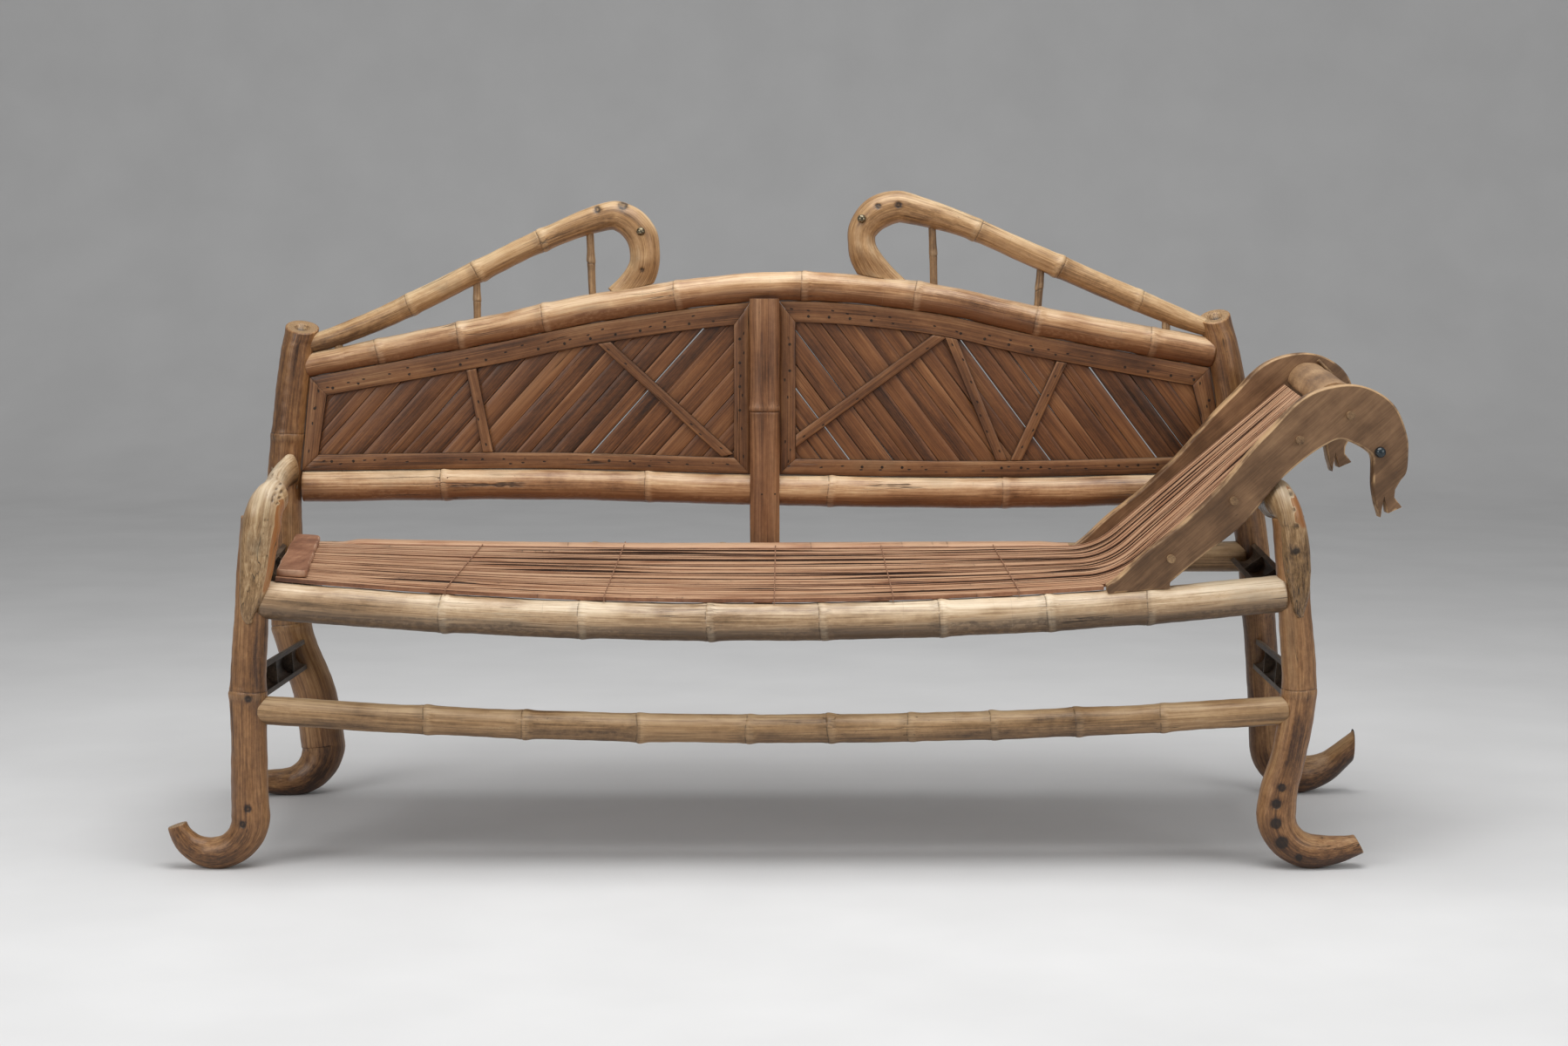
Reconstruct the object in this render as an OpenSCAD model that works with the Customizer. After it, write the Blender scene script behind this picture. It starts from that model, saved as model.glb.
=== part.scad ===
// Bamboo daybed sofa: pegged culm frame, slatted back panels, split bamboo mat and a raised headrest.
// Millimetres. X runs along the seat, the front faces -Y, Z is up, and the feet stand on z = 0.

/* [Frame] */
// Distance between the two front leg centre lines at seat height
front_leg_spread = 1618; // [1450:2:1800]
// Distance between the two rear post centre lines at seat height
rear_post_spread = 1720; // [1550:2:1900]
// How far the rear posts sit to the left of the front legs' middle
rear_shift = 11; // [0:1:20]
// Distance from the front legs to the rear posts, centre to centre
frame_depth = 600; // [520:2:700]
// Height of the seat rails' tops where they meet the legs
seat_h = 452; // [400:1:500]
// How much the front seat rail sags at its middle
front_rail_sag = 40; // [15:1:50]
// Height of the arms' tops
arm_h = 610; // [560:1:680]
// How far the left rear post stands over the end of the arched top rail's axis
left_post_rise = 80; // [64:1:120]
// How far the right rear post stands over the end of the arched top rail's axis
right_post_rise = 76; // [68:1:120]
// Height of the front stretcher's axis where it meets the legs
stretcher_h = 250; // [210:1:262]
// How much the front stretcher sags at its middle
stretcher_sag = 30; // [10:1:45]
// Height of the side stretchers at the front legs
side_stretcher_front_h = 290; // [284:1:320]
// Height of the side stretchers at the rear posts
side_stretcher_rear_h = 252; // [225:1:290]

/* [Culms] */
// Diameter of the front legs at their middle
leg_d = 56; // [50:1:62]
// Diameter of the rear posts at seat height
post_d = 60; // [54:1:66]
// Diameter of the front seat rail
front_rail_d = 60; // [54:1:66]
// Diameter of the rear seat rail
rear_rail_d = 54; // [48:1:60]
// Diameter of the front stretcher
stretcher_d = 45; // [38:1:50]
// Diameter of the arms
arm_d = 58; // [50:1:64]
// Diameter of the arched top rail of the back
top_rail_d = 52; // [46:1:56]
// Diameter of the lower rail of the back
lower_rail_d = 56; // [50:1:60]
// Diameter of the swan necks at their middle
crest_d = 42; // [36:1:46]
// Diameter of the split culms that form the side rails and side stretchers
split_culm_d = 52; // [46:1:56]
// Wall thickness of the split culms
culm_wall = 8; // [5:0.5:10]
// How far a node ring stands out from its culm
node_swell = 1.4; // [0.5:0.1:2]
// Diameter of the bearers under the mat
bearer_d = 30; // [24:1:34]

/* [Feet] */
// Radius of the bend from leg to foot, at the culm's centre line
foot_turn = 60; // [54:1:70]
// Depth of the flat worn under each foot
foot_flat = 1.5; // [1:0.1:2.5]

/* [Joints] */
// Gap between pieces that touch
rest_gap = 0.3; // [0.2:0.05:0.5]
// Radial clearance of a tenon or peg in its bore
bore_fit = 0.15; // [0.1:0.05:0.3]
// Diameter of the frame pegs
peg_d = 11; // [8:0.5:12]
// Distance from a leg's centre line at which a tenon stops
tenon_stop = 10; // [9:0.5:13]
// Width of the tongue at each end of a split culm
split_tongue_w = 22; // [16:1:24]

/* [Back] */
// Height of the arched top rail's top at its middle
back_h = 929; // [905:1:970]
// How far the arched top rail drops to the left post
arch_drop_left = 140; // [125:1:150]
// How far the arched top rail drops to the right post
arch_drop_right = 117; // [105:1:130]
// Height of the lower back rail's axis over the seat rails' tops
lower_back_rise = 98; // [93:1:104]
// Width of the upper strips that frame the two panels
top_strip_w = 38; // [30:1:40]
// Width of the lower strips
bottom_strip_w = 29; // [22:1:34]
// Width of the upright strips
stile_w = 30; // [24:1:34]
// Thickness of the strips and braces
strip_t = 6; // [4:0.5:7]
// Thickness of the slats
slat_t = 5; // [3:0.5:6]
// Spacing of the slats across their width
slat_pitch = 28; // [24:0.5:34]
// Gap between neighbouring slats
slat_gap = 2.2; // [1:0.1:4]
// Slope of the left panel's slats
left_slat_angle = 48; // [40:1:56]
// Slope of the right panel's slats
right_slat_angle = 53; // [45:1:58]
// Width of the braces nailed over the slats
brace_w = 19; // [14:1:24]
// Width of the centre stile, a split culm
centre_stile_w = 52; // [44:1:56]
// Diameter of the panel nails
nail_d = 3; // [2:0.25:4]

/* [Crests] */
// How far the left swan's crown stands over the arched top rail
left_crest_rise = 120; // [100:1:140]
// How far the right swan's crown stands over the arched top rail
right_crest_rise = 142; // [120:1:160]
// Diameter of the spindles under the necks
spindle_d = 13; // [10:0.5:16]
// Diameter of the brass eye studs
eye_stud_d = 17.5; // [13:0.5:20]

/* [Seat] */
// Thickness of the split bamboo mat
mat_t = 5.5; // [4:0.5:9]
// Number of mat strips that run on up the headrest
mat_strips = 12; // [9:1:16]
// Gap between neighbouring mat strips
mat_gap = 1.6; // [0.8:0.1:3]
// Thickness of the end board
end_board_t = 11; // [8:1:16]
// Width of the end board
end_board_w = 46; // [36:1:60]
// Thickness of the ties over the mat
tie_d = 1.8; // [1:0.1:2.5]

/* [Headrest] */
// Thickness of the two carved side boards
board_t = 34; // [26:1:38]
// How far the rear board stands in front of the rear posts
rear_board_clear = 37; // [34:1:60]
// Distance from the frame's middle to the foot of the boards
board_foot_x = 516; // [480:1:530]
// Run from the foot of a board to the middle of its crown
slope_run = 363; // [345:1:375]
// How far the boards' slope stands over the right arm's top where it crosses the arm
slope_over_arm = 35.8; // [32:0.2:60]
// How much further and higher the rear board reaches
rear_board_lift = 32; // [10:1:40]
// Diameter of the rungs between the boards
rung_d = 22; // [16:1:26]
// Diameter of the rungs' ends that show in the boards
rung_end_d = 13; // [9:0.5:15]
// Width of the half-round crown block
crown_w = 72; // [64:1:80]
// Diameter of the glass eyes of the carved heads
bead_d = 15; // [11:0.5:18]

/* [Hidden] */

straw = [0.80, 0.68, 0.48];
tan_culm = [0.62, 0.48, 0.33];
brown_culm = [0.56, 0.38, 0.22];
dark_split = [0.33, 0.27, 0.21];
panel_brown = [0.42, 0.26, 0.16];
mat_tan = [0.70, 0.52, 0.40];
board_brown = [0.45, 0.34, 0.25];
brass = [0.62, 0.50, 0.28];
glass_grey = [0.25, 0.30, 0.33];
peg_grey = [0.50, 0.42, 0.34];

sides = 14;
big = 3000;
left = -1;
right = 1;
x_of = 0;
y_of = 1;
z_of = 2;

// A station is [x, y, z, radius across, radius along the reference axis].
function unit(v) = v / norm(v);
function xyz(s) = [s[0], s[1], s[2]];
function mix(a, b, t) = a + (b - a) * t;

// Smooth curve through control stations
function spline_point(p, i, t) =
    let (a = p[max(i - 1, 0)], b = p[i], c = p[i + 1], d = p[min(i + 2, len(p) - 1)])
    0.5 * (2 * b + (c - a) * t + (2 * a - 5 * b + 4 * c - d) * t * t
        + (3 * b - a - 3 * c + d) * t * t * t);
function spline(p, n) = [
    for (i = [0:len(p) - 2], j = [0:n - 1]) spline_point(p, i, j / n),
    p[len(p) - 1]
];

// Station where a curve reaches the value s along its x or z axis
function reading(curve, axis, s) = [for (k = [0:4]) lookup(s, [for (p = curve) [p[axis], p[k]]])];

// Positions along a culm: a few to an internode, and three for each node ring
ring_w = 7;
function stops(a, b, nodes, n) =
    let (marks = concat([a], nodes, [b]), last = len(marks) - 2, way = sign(b - a))
    [for (i = [0:last])
        let (from = marks[i] + (i > 0 ? way * ring_w : 0))
        let (to = marks[i + 1] - (i < last ? way * ring_w : 0))
        each concat([for (j = [0:n]) [mix(from, to, j / n), 0]],
            i < last ? [[marks[i + 1], node_swell]] : [])];
function culm(curve, axis, nodes, n) =
    [for (s = stops(curve[0][axis], curve[len(curve) - 1][axis], nodes, n))
        reading(curve, axis, s[0]) + [0, 0, 0, s[1], s[1]]];

// Node rings that follow each other with internodes that shrink steadily
function node_run(first, pitch, ratio, count) =
    [for (k = [0:count - 1]) first + pitch * (1 - pow(ratio, k)) / (1 - ratio)];

// Skin through rings of points set square to the path
module sweep(st, ref, around = sides) {
    last = len(st) - 1;
    points = [for (i = [0:last])
        let (t = unit(xyz(st[min(i + 1, last)]) - xyz(st[max(i - 1, 0)])))
        let (u = unit(cross(ref, t)), v = cross(t, u))
        for (j = [0:around - 1])
            xyz(st[i]) + u * cos(360 * j / around) * st[i][3] + v * sin(360 * j / around) * st[i][4]];
    walls = [for (i = [0:last - 1], j = [0:around - 1])
        let (a = i * around + j, b = i * around + (j + 1) % around)
        each [[a, b + around, b], [a, a + around, b + around]]];
    near_cap = [for (j = [0:around - 1]) j];
    far_cap = [for (j = [0:around - 1]) last * around + around - 1 - j];
    polyhedron(points = points, faces = concat([near_cap], walls, [far_cap]), convexity = 8);
}

// Local z axis from p towards q
module along(p, q) {
    d = q - p;
    translate(p) rotate([0, acos(d[2] / norm(d)), atan2(d[1], d[0])]) children();
}
module rod(p, q, d) {
    along(p, q) cylinder(h = norm(q - p), d = d, $fn = 48);
}
module rods(pairs, d, grow) {
    for (e = pairs) {
        u = unit(e[1] - e[0]) * grow;
        rod(e[0] - u, e[1] + u, d + 2 * grow);
    }
}

// Legs and posts: outward offsets, heights and radii from the top down to the ankle
leg_r = leg_d / 2;
post_r = post_d / 2;
arm_r = arm_d / 2;
arm_z = arm_h - arm_r;
leg_top = arm_h - arm_d - rest_gap;
seat_rail_z = seat_h - front_rail_d / 2;
front_x = front_leg_spread / 2;
rear_left_x = rear_post_spread / 2 + rear_shift;
rear_right_x = rear_post_spread / 2 - rear_shift;
top_r = top_rail_d / 2;
top_z = back_h - top_r;
top_left_z = top_z - arch_drop_left;
top_right_z = top_z - arch_drop_right;
left_post_h = top_left_z + left_post_rise;
right_post_h = top_right_z + right_post_rise;
left_rise = left_post_h - seat_h;
right_rise = right_post_h - seat_h;

front_left_sole = 24.5;
front_right_sole = 27;
rear_left_sole = 25;
rear_right_sole = 34;
function ankle_z(sole) = sole - foot_flat + foot_turn;
function leg_curve(side, x, y, list) =
    spline([for (o = list) [side * (x + o[0]), y, o[1], o[2], o[2]]], 6);

front_left_curve = leg_curve(left, front_x, 0, [
    [-11, leg_top, leg_r - 3], [0, seat_rail_z, leg_r - 2], [8, 0.66 * seat_rail_z, leg_r],
    [9, 0.42 * seat_rail_z, leg_r], [8, ankle_z(front_left_sole), leg_r + 2]]);
front_right_curve = leg_curve(right, front_x, 0, [
    [-12, leg_top, leg_r - 3], [0, seat_rail_z, leg_r - 2.5], [10, 0.68 * seat_rail_z, leg_r - 1],
    [-3, 0.44 * seat_rail_z, leg_r - 1], [-17, 0.3 * seat_rail_z, leg_r + 1],
    [-22, ankle_z(front_right_sole), leg_r + 3]]);
rear_left_curve = leg_curve(left, rear_left_x, frame_depth, [
    [-38, left_post_h, post_r - 1], [-15, seat_h + 0.6 * left_rise, post_r - 0.5],
    [0, seat_h + 0.13 * left_rise, post_r + 1], [-9, 0.68 * seat_h, post_r + 3.5],
    [-48, 0.4 * seat_h, post_r + 7], [-63, ankle_z(rear_left_sole), post_r + 9]]);
rear_right_curve = leg_curve(right, rear_right_x, frame_depth, [
    [-72, right_post_h, post_r - 2], [-39, seat_h + 0.59 * right_rise, post_r],
    [0, seat_h, post_r - 1], [20, 0.58 * seat_h, post_r - 1],
    [34, ankle_z(rear_right_sole), post_r + 2]]);

// Foot: a quarter turn outwards onto the sole, then a toe that curls up to a rounded end
toe_steps = [[0.2, 1], [0.4, 1], [0.6, 1], [0.8, 1], [0.93, 0.94], [1, 0.7]];
function foot(side, curve, sole, toe_r, toe_angle, toe_end, ahead) =
    let (a = curve[len(curve) - 1], z = sole - foot_flat, start = a[3])
    concat(
        [for (t = [18:18:90]) [a[0] + side * foot_turn * (1 - cos(t)), a[1] - ahead * t / 180,
            z + foot_turn * (1 - sin(t)), mix(start, sole, t / 90), mix(start, sole, t / 90)]],
        [for (k = toe_steps) let (b = toe_angle * k[0], r = mix(sole, toe_end, k[0]) * k[1])
            [a[0] + side * (foot_turn + toe_r * sin(b)), a[1] - ahead * (0.5 + k[0] / 2),
                z + toe_r * (1 - cos(b)), r, r]]);
front_left_foot = foot(left, front_left_curve, front_left_sole, 52, 82, 21, 0);
front_right_foot = foot(right, front_right_curve, front_right_sole, 215, 20, 15, 0);
rear_left_foot = foot(left, rear_left_curve, rear_left_sole, 300, 17, 15, 50);
rear_right_foot = foot(right, rear_right_curve, rear_right_sole, 88, 80, 19, 0);

// Middle of the whole outline, where the model's origin stands
left_toe = front_left_foot[len(front_left_foot) - 1];
right_toe = rear_right_foot[len(rear_right_foot) - 1];
rear_left_ankle = rear_left_curve[len(rear_left_curve) - 1];
tongue_t = 11;
middle_x = (left_toe[0] - left_toe[3] + right_toe[0] + right_toe[3]) / 2;
middle_y = (frame_depth + rear_left_ankle[3] - leg_r - tongue_t) / 2;
module placed() {
    translate([-middle_x, -middle_y, 0]) children();
}

// Where a level piece meets a leg or post
function meet(curve, z) = xyz(reading(curve, z_of, z));
function leg_radius(curve, z) = reading(curve, z_of, z)[3];
module leg_cutter(curve, z, reach) {
    r = leg_radius(curve, z) + node_swell + rest_gap;
    rod(meet(curve, z - reach), meet(curve, z + reach), 2 * r);
}

// Level culms: a line from leg to leg that sags by a parabola
inset = 0.6;
function level_curve(ca, cb, za, zb, sag, ra, rb) =
    let (pa = meet(ca, za) + [inset * leg_radius(ca, za), 0, 0])
    let (pb = meet(cb, zb) - [inset * leg_radius(cb, zb), 0, 0])
    [for (i = [0:16]) let (t = i / 16, q = mix(pa, pb, t), r = mix(ra, rb, t))
        [q[0], q[1], q[2] - 4 * sag * t * (1 - t), r, r]];
front_rail_lift = 6;
front_rail_tilt = 5;
front_rail_left_z = seat_rail_z + front_rail_lift - front_rail_tilt;
front_rail_right_z = seat_rail_z + front_rail_lift + front_rail_tilt;
front_rail_curve = level_curve(front_left_curve, front_right_curve, front_rail_left_z,
    front_rail_right_z, front_rail_sag, front_rail_d / 2, front_rail_d / 2 - 1);
rear_rail_z = seat_h - rear_rail_d / 2;
rear_rail_curve = level_curve(rear_left_curve, rear_right_curve, rear_rail_z, rear_rail_z, 4,
    rear_rail_d / 2, rear_rail_d / 2);
stretcher_curve = level_curve(front_left_curve, front_right_curve, stretcher_h, stretcher_h,
    stretcher_sag, stretcher_d / 2, stretcher_d / 2);

// Back rails: shares of the half span with a rise or drop at each
lower_r = lower_rail_d / 2;
lower_back_h = seat_h + lower_back_rise;
lower_a = meet(rear_left_curve, lower_back_h);
lower_b = meet(rear_right_curve, lower_back_h);
lower_wave = [[0.02, 0], [0.27, 4], [0.5, -6], [0.75, -11], [0.98, -1]];
lower_rail_curve = spline([for (w = lower_wave)
    [mix(lower_a[0], lower_b[0], w[0]), frame_depth, lower_back_h + w[1], lower_r, lower_r]], 5);
top_a = meet(rear_left_curve, top_left_z) + [inset * post_r, 0, 0];
top_b = meet(rear_right_curve, top_right_z) - [inset * post_r, 0, 0];
arch_left = [[1, 1, -5], [0.62, 0.56, -1], [0.34, 0.23, 0]];
arch_right = [[0.33, 0.15, 0], [0.6, 0.52, 0], [1, 1, 1]];
top_rail_curve = spline(concat(
    [for (a = arch_left)
        [top_a[0] * a[0], frame_depth, top_z - arch_drop_left * a[1], top_r + a[2], top_r + a[2]]],
    [[0, frame_depth, top_z, top_r, top_r]],
    [for (a = arch_right)
        [top_b[0] * a[0], frame_depth, top_z - arch_drop_right * a[1], top_r + a[2], top_r + a[2]]]), 6);

// Crests: a neck from the post with a slight S in it, then the turn of a swan's head
crest_r = crest_d / 2;
left_crest_h = back_h + left_crest_rise;
right_crest_h = back_h + right_crest_rise;
left_turn_x = -0.344 * rear_left_x;
right_turn_x = 0.286 * rear_right_x;
function crest_curve(post, post_z, side, neck_x, crown_h, neck, head) =
    let (a = meet(post, post_z) - [side * inset * post_r, 0, 0], neck_z = crown_h - max([for (h = head) h[1] + h[2]]))
    let (b = [neck_x, frame_depth, neck_z])
    spline(concat(
        [for (n = neck)
            let (q = mix(a, b, n[0])) [q[0], q[1], q[2] + n[2], crest_r + n[1], crest_r + n[1]]],
        [for (h = head)
            [neck_x - side * h[0], frame_depth, neck_z + h[1], h[2], h[2]]]), 4);
left_head = [[0, 0, 24], [38, -4, 26.5], [64, -29, 28], [72, -60, 26.5], [69, -90, 26], [52, -122, 27]];
right_head = [[0, 0, 26.5], [34, 4, 29], [66, -9, 29.5], [86, -34, 26], [89, -57, 24.5],
    [82, -84, 26], [60, -119, 28]];
left_bend = [[0, -5, 0], [0.12, -3, -7], [0.3, -1.5, -8], [0.57, -1.5, 0], [0.8, -1.5, 6]];
right_bend = [[0, -6.5, 0], [0.12, -3, -2], [0.3, -1.5, 0], [0.57, -1, 4], [0.8, -1, 9]];
left_crest_z = top_left_z + 38;
right_crest_z = top_right_z + 43.5;
left_crest_curve = crest_curve(rear_left_curve, left_crest_z, left, left_turn_x, left_crest_h,
    left_bend, left_head);
right_crest_curve = crest_curve(rear_right_curve, right_crest_z, right, right_turn_x, right_crest_h,
    right_bend, right_head);
head_steps = 4;
function neck_part(curve, head) = [for (i = [0:len(curve) - 1 - head_steps * (len(head) - 1)]) curve[i]];
function head_part(curve, head) =
    [for (i = [len(curve) - head_steps * (len(head) - 1):len(curve) - 1]) curve[i]];
left_neck = neck_part(left_crest_curve, left_head);
right_neck = neck_part(right_crest_curve, right_head);

// Node rings of each culm: the first ring and the internode after it, or each ring's place
front_rail_ring = [-509, 214];
stretcher_ring = [-539, 160];
rear_rail_ring = [-560, 240];
lower_rail_ring = [-583, 300];
top_rail_ring = [-553, 190];
left_neck_ring = [-640, 130];
front_rail_nodes = node_run(front_rail_ring[0], front_rail_ring[1], 0.93, 7);
stretcher_nodes = node_run(stretcher_ring[0], stretcher_ring[1], 0.96, 8);
rear_rail_nodes = node_run(rear_rail_ring[0], rear_rail_ring[1], 0.97, 6);
lower_rail_nodes = node_run(lower_rail_ring[0], lower_rail_ring[1], 0.93, 5);
top_rail_nodes = node_run(top_rail_ring[0], top_rail_ring[1], 0.985, 7);
left_neck_nodes = node_run(left_neck_ring[0], left_neck_ring[1], 0.9, 3);
right_neck_nodes = [640, 500, 355];
left_leg_nodes = [275];
right_leg_nodes = [279];
left_post_nodes = [640, 300];
right_post_nodes = [690, 330];
arm_nodes = [430, 190];

// Tenons at the ends of level culms
function end_rod(curve, end, reach) =
    let (n = len(curve) - 1, p = xyz(end ? curve[n] : curve[0]), q = xyz(end ? curve[n - 1] : curve[1]))
    let (u = unit(q - p))
    [p - u * reach, p + u * 25];
tenon_reach = inset * leg_r - tenon_stop;
front_rail_tenon_d = 0.5 * front_rail_d;
rear_rail_tenon_d = 0.5 * rear_rail_d;
stretcher_tenon_d = 0.55 * stretcher_d;
lower_tenon_d = 0.48 * lower_rail_d;
top_tenon_d = 0.55 * top_rail_d;
crest_tenon_d = 0.45 * crest_d;
arm_tenon_d = 0.33 * arm_d;
module level_culm(curve, nodes, tenon_d, ca, za, cb, zb, pegs) {
    difference() {
        union() {
            difference() {
                sweep(culm(curve, x_of, nodes, 3), [0, 1, 0]);
                leg_cutter(ca, za, 60);
                leg_cutter(cb, zb, 60);
            }
            rods([end_rod(curve, false, tenon_reach), end_rod(curve, true, tenon_reach)], tenon_d, 0);
        }
        children();
        rods(pegs, peg_d, bore_fit);
    }
}

// Pegs that lock the tenons, by the leg or post they cross
function cross_peg(curve, z, side, front, back) =
    let (p = meet(curve, z), x = p[0] - side * (leg_radius(curve, z) + tenon_stop) / 2)
    [[x, p[1] + front, z], [x, p[1] + back, z]];
tongue_peg_z = seat_h + 19;
function front_pegs(curve, side, rail_z) = [
    cross_peg(curve, stretcher_h, side, -leg_r + 7, leg_r - 10),
    cross_peg(curve, rail_z, side, -leg_r + 12, front_rail_tenon_d / 2 + 1)];
function rear_pegs(curve, side, top_rail_z) = [
    cross_peg(curve, rear_rail_z, side, -post_r + 13, post_r - 7),
    cross_peg(curve, lower_back_h, side, -post_r + 13, post_r - 7),
    cross_peg(curve, top_rail_z, side, -post_r + 13, post_r - 7)];
function arm_peg(curve) =
    let (p = meet(curve, arm_z), y = p[1] - (post_r + tenon_stop) / 2)
    [[p[0] - 0.7 * post_r, y, arm_z], [p[0] + 0.7 * post_r, y, arm_z]];
front_left_pegs = front_pegs(front_left_curve, left, front_rail_left_z);
front_right_pegs = front_pegs(front_right_curve, right, front_rail_right_z);
rear_left_pegs = rear_pegs(rear_left_curve, left, top_left_z);
rear_right_pegs = rear_pegs(rear_right_curve, right, top_right_z);

// How far each arm stands inwards of its leg: at its level run, then down the tongue
left_lean = [21, 9, 7, 7, 4.5, 0, 3];
right_lean = [12, -3, -4.5, -5, -4.5, -2, -3];
function tongue_peg(curve, lean, off) =
    let (p = meet(curve, tongue_peg_z), r = leg_radius(curve, tongue_peg_z), x = p[0] + lean + off)
    [[x, p[1] - r - tongue_t + abs(off) / 3, tongue_peg_z], [x, p[1] - 4, tongue_peg_z]];
left_tongue_pegs = [tongue_peg(front_left_curve, left_lean[3], -8)];
right_tongue_pegs = [for (off = [-14, 14]) tongue_peg(front_right_curve, -right_lean[3], off)];
tongue_peg_d = 0.8 * peg_d;

// Split culms of the sides: axis ends, and the turn of their open face
split_r = split_culm_d / 2;
split_stop = front_rail_tenon_d / 2 + 2.5;
seat_tilt = 55;
low_tilt = 5;
side_rail_z = seat_h - split_r * cos(seat_tilt) - rest_gap;
function split_ends(side, front, rear, zf, zr, inward) =
    [meet(front, zf) - [side * inward, 0, 0], meet(rear, zr) - [side * inward, 0, 0]];
left_rail_ends = split_ends(left, front_left_curve, rear_left_curve, side_rail_z, side_rail_z, 21);
right_rail_ends = split_ends(right, front_right_curve, rear_right_curve, side_rail_z, side_rail_z, 21);
left_low_ends = split_ends(left, front_left_curve, rear_left_curve,
    side_stretcher_front_h, side_stretcher_rear_h, 15);
right_low_ends = split_ends(right, front_right_curve, rear_right_curve,
    side_stretcher_front_h, side_stretcher_rear_h, 15);
module split_frame(ends, side, tilt) {
    along(ends[0], ends[1]) rotate([0, 0, atan2(side * cos(tilt), -sin(tilt))]) children();
}
module split_shell(from, to) {
    span = to - from;
    count = 3;
    bay = span / count;
    diaphragm = 5;
    difference() {
        translate([0, 0, from]) cylinder(h = span, r = split_r, $fn = 64);
        for (k = [0:count - 1]) {
            translate([0, 0, from + k * bay + (k > 0 ? diaphragm : -1)])
                cylinder(h = bay - (k > 0 ? diaphragm : -1) + (k == count - 1 ? 1 : 0),
                    r = split_r - culm_wall, $fn = 64);
        }
        translate([0, -big / 2, -big / 2]) cube([big, big, big]);
    }
}
module tongue_slab(from, to, grow) {
    depth = culm_wall + 3;
    translate([-split_r - grow, -split_tongue_w / 2 - grow, from - grow])
        cube([depth + 2 * grow, split_tongue_w + 2 * grow, to - from + 2 * grow]);
}
module split_culm(ends, side, tilt, front, zf, rear, zr) {
    span = norm(ends[1] - ends[0]);
    intersection() {
        union() {
            difference() {
                split_frame(ends, side, tilt) split_shell(0.5 * leg_r, span - 0.5 * post_r);
                leg_cutter(front, zf, 60);
                leg_cutter(rear, zr, 60);
            }
            split_frame(ends, side, tilt) intersection() {
                split_shell(split_stop, span - split_stop);
                union() {
                    tongue_slab(split_stop, 60, 0);
                    tongue_slab(span - 60, span - split_stop, 0);
                }
            }
        }
        translate([-big / 2, 0, 0]) cube([big, frame_depth, big]);
    }
}
module tongue_slots(ends, side, tilt) {
    span = norm(ends[1] - ends[0]);
    split_frame(ends, side, tilt) {
        tongue_slab(split_stop, 60, rest_gap);
        tongue_slab(span - 60, span - split_stop, rest_gap);
    }
}
module floor_cut() {
    translate([-big / 2, -big / 2, -big]) cube([big, big, big]);
}

// A leg or post with its foot, its flat sole and its mortises
module leg(curve, foot_part, nodes, pegs) {
    difference() {
        sweep(concat(culm(curve, z_of, nodes, 4), foot_part), [0, 1, 0]);
        floor_cut();
        rods(pegs, peg_d, bore_fit);
        children();
    }
}
module front_left_leg() {
    color(tan_culm) placed() leg(front_left_curve, front_left_foot, left_leg_nodes, front_left_pegs) {
        rods([end_rod(front_rail_curve, false, tenon_reach)], front_rail_tenon_d, bore_fit);
        rods([end_rod(stretcher_curve, false, tenon_reach)], stretcher_tenon_d, bore_fit);
        rods(left_tongue_pegs, tongue_peg_d, bore_fit);
        tongue_slots(left_rail_ends, left, seat_tilt);
        tongue_slots(left_low_ends, left, low_tilt);
    }
}
module front_right_leg() {
    color(tan_culm) placed() leg(front_right_curve, front_right_foot, right_leg_nodes, front_right_pegs) {
        rods([end_rod(front_rail_curve, true, tenon_reach)], front_rail_tenon_d, bore_fit);
        rods([end_rod(stretcher_curve, true, tenon_reach)], stretcher_tenon_d, bore_fit);
        rods(right_tongue_pegs, tongue_peg_d, bore_fit);
        tongue_slots(right_rail_ends, right, seat_tilt);
        tongue_slots(right_low_ends, right, low_tilt);
    }
}
module rear_left_post() {
    color(brown_culm) placed()
        leg(rear_left_curve, rear_left_foot, left_post_nodes, concat(rear_left_pegs, [arm_peg(rear_left_curve)])) {
            rods([end_rod(rear_rail_curve, false, tenon_reach)], rear_rail_tenon_d, bore_fit);
            rods([end_rod(lower_rail_curve, false, tenon_reach)], lower_tenon_d, bore_fit);
            rods([end_rod(top_rail_curve, false, tenon_reach)], top_tenon_d, bore_fit);
            rods([end_rod(left_crest_curve, false, tenon_reach)], crest_tenon_d, bore_fit);
            rods([arm_tenon(left_arm_stations)], arm_tenon_d, bore_fit);
            tongue_slots(left_rail_ends, left, seat_tilt);
            tongue_slots(left_low_ends, left, low_tilt);
        }
}
module rear_right_post() {
    color(brown_culm) placed()
        leg(rear_right_curve, rear_right_foot, right_post_nodes, concat(rear_right_pegs, [arm_peg(rear_right_curve)])) {
            rods([end_rod(rear_rail_curve, true, tenon_reach)], rear_rail_tenon_d, bore_fit);
            rods([end_rod(lower_rail_curve, true, tenon_reach)], lower_tenon_d, bore_fit);
            rods([end_rod(top_rail_curve, true, tenon_reach)], top_tenon_d, bore_fit);
            rods([end_rod(right_crest_curve, false, tenon_reach)], crest_tenon_d, bore_fit);
            rods([arm_tenon(right_arm_stations)], arm_tenon_d, bore_fit);
            tongue_slots(right_rail_ends, right, seat_tilt);
            tongue_slots(right_low_ends, right, low_tilt);
        }
}

// Arms: they sag a little from post to leg, then hook down over the leg as a carved tongue
tongue_reach = 215;
arm_bend_y = 24;
arm_front_w = arm_r - 7;
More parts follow.
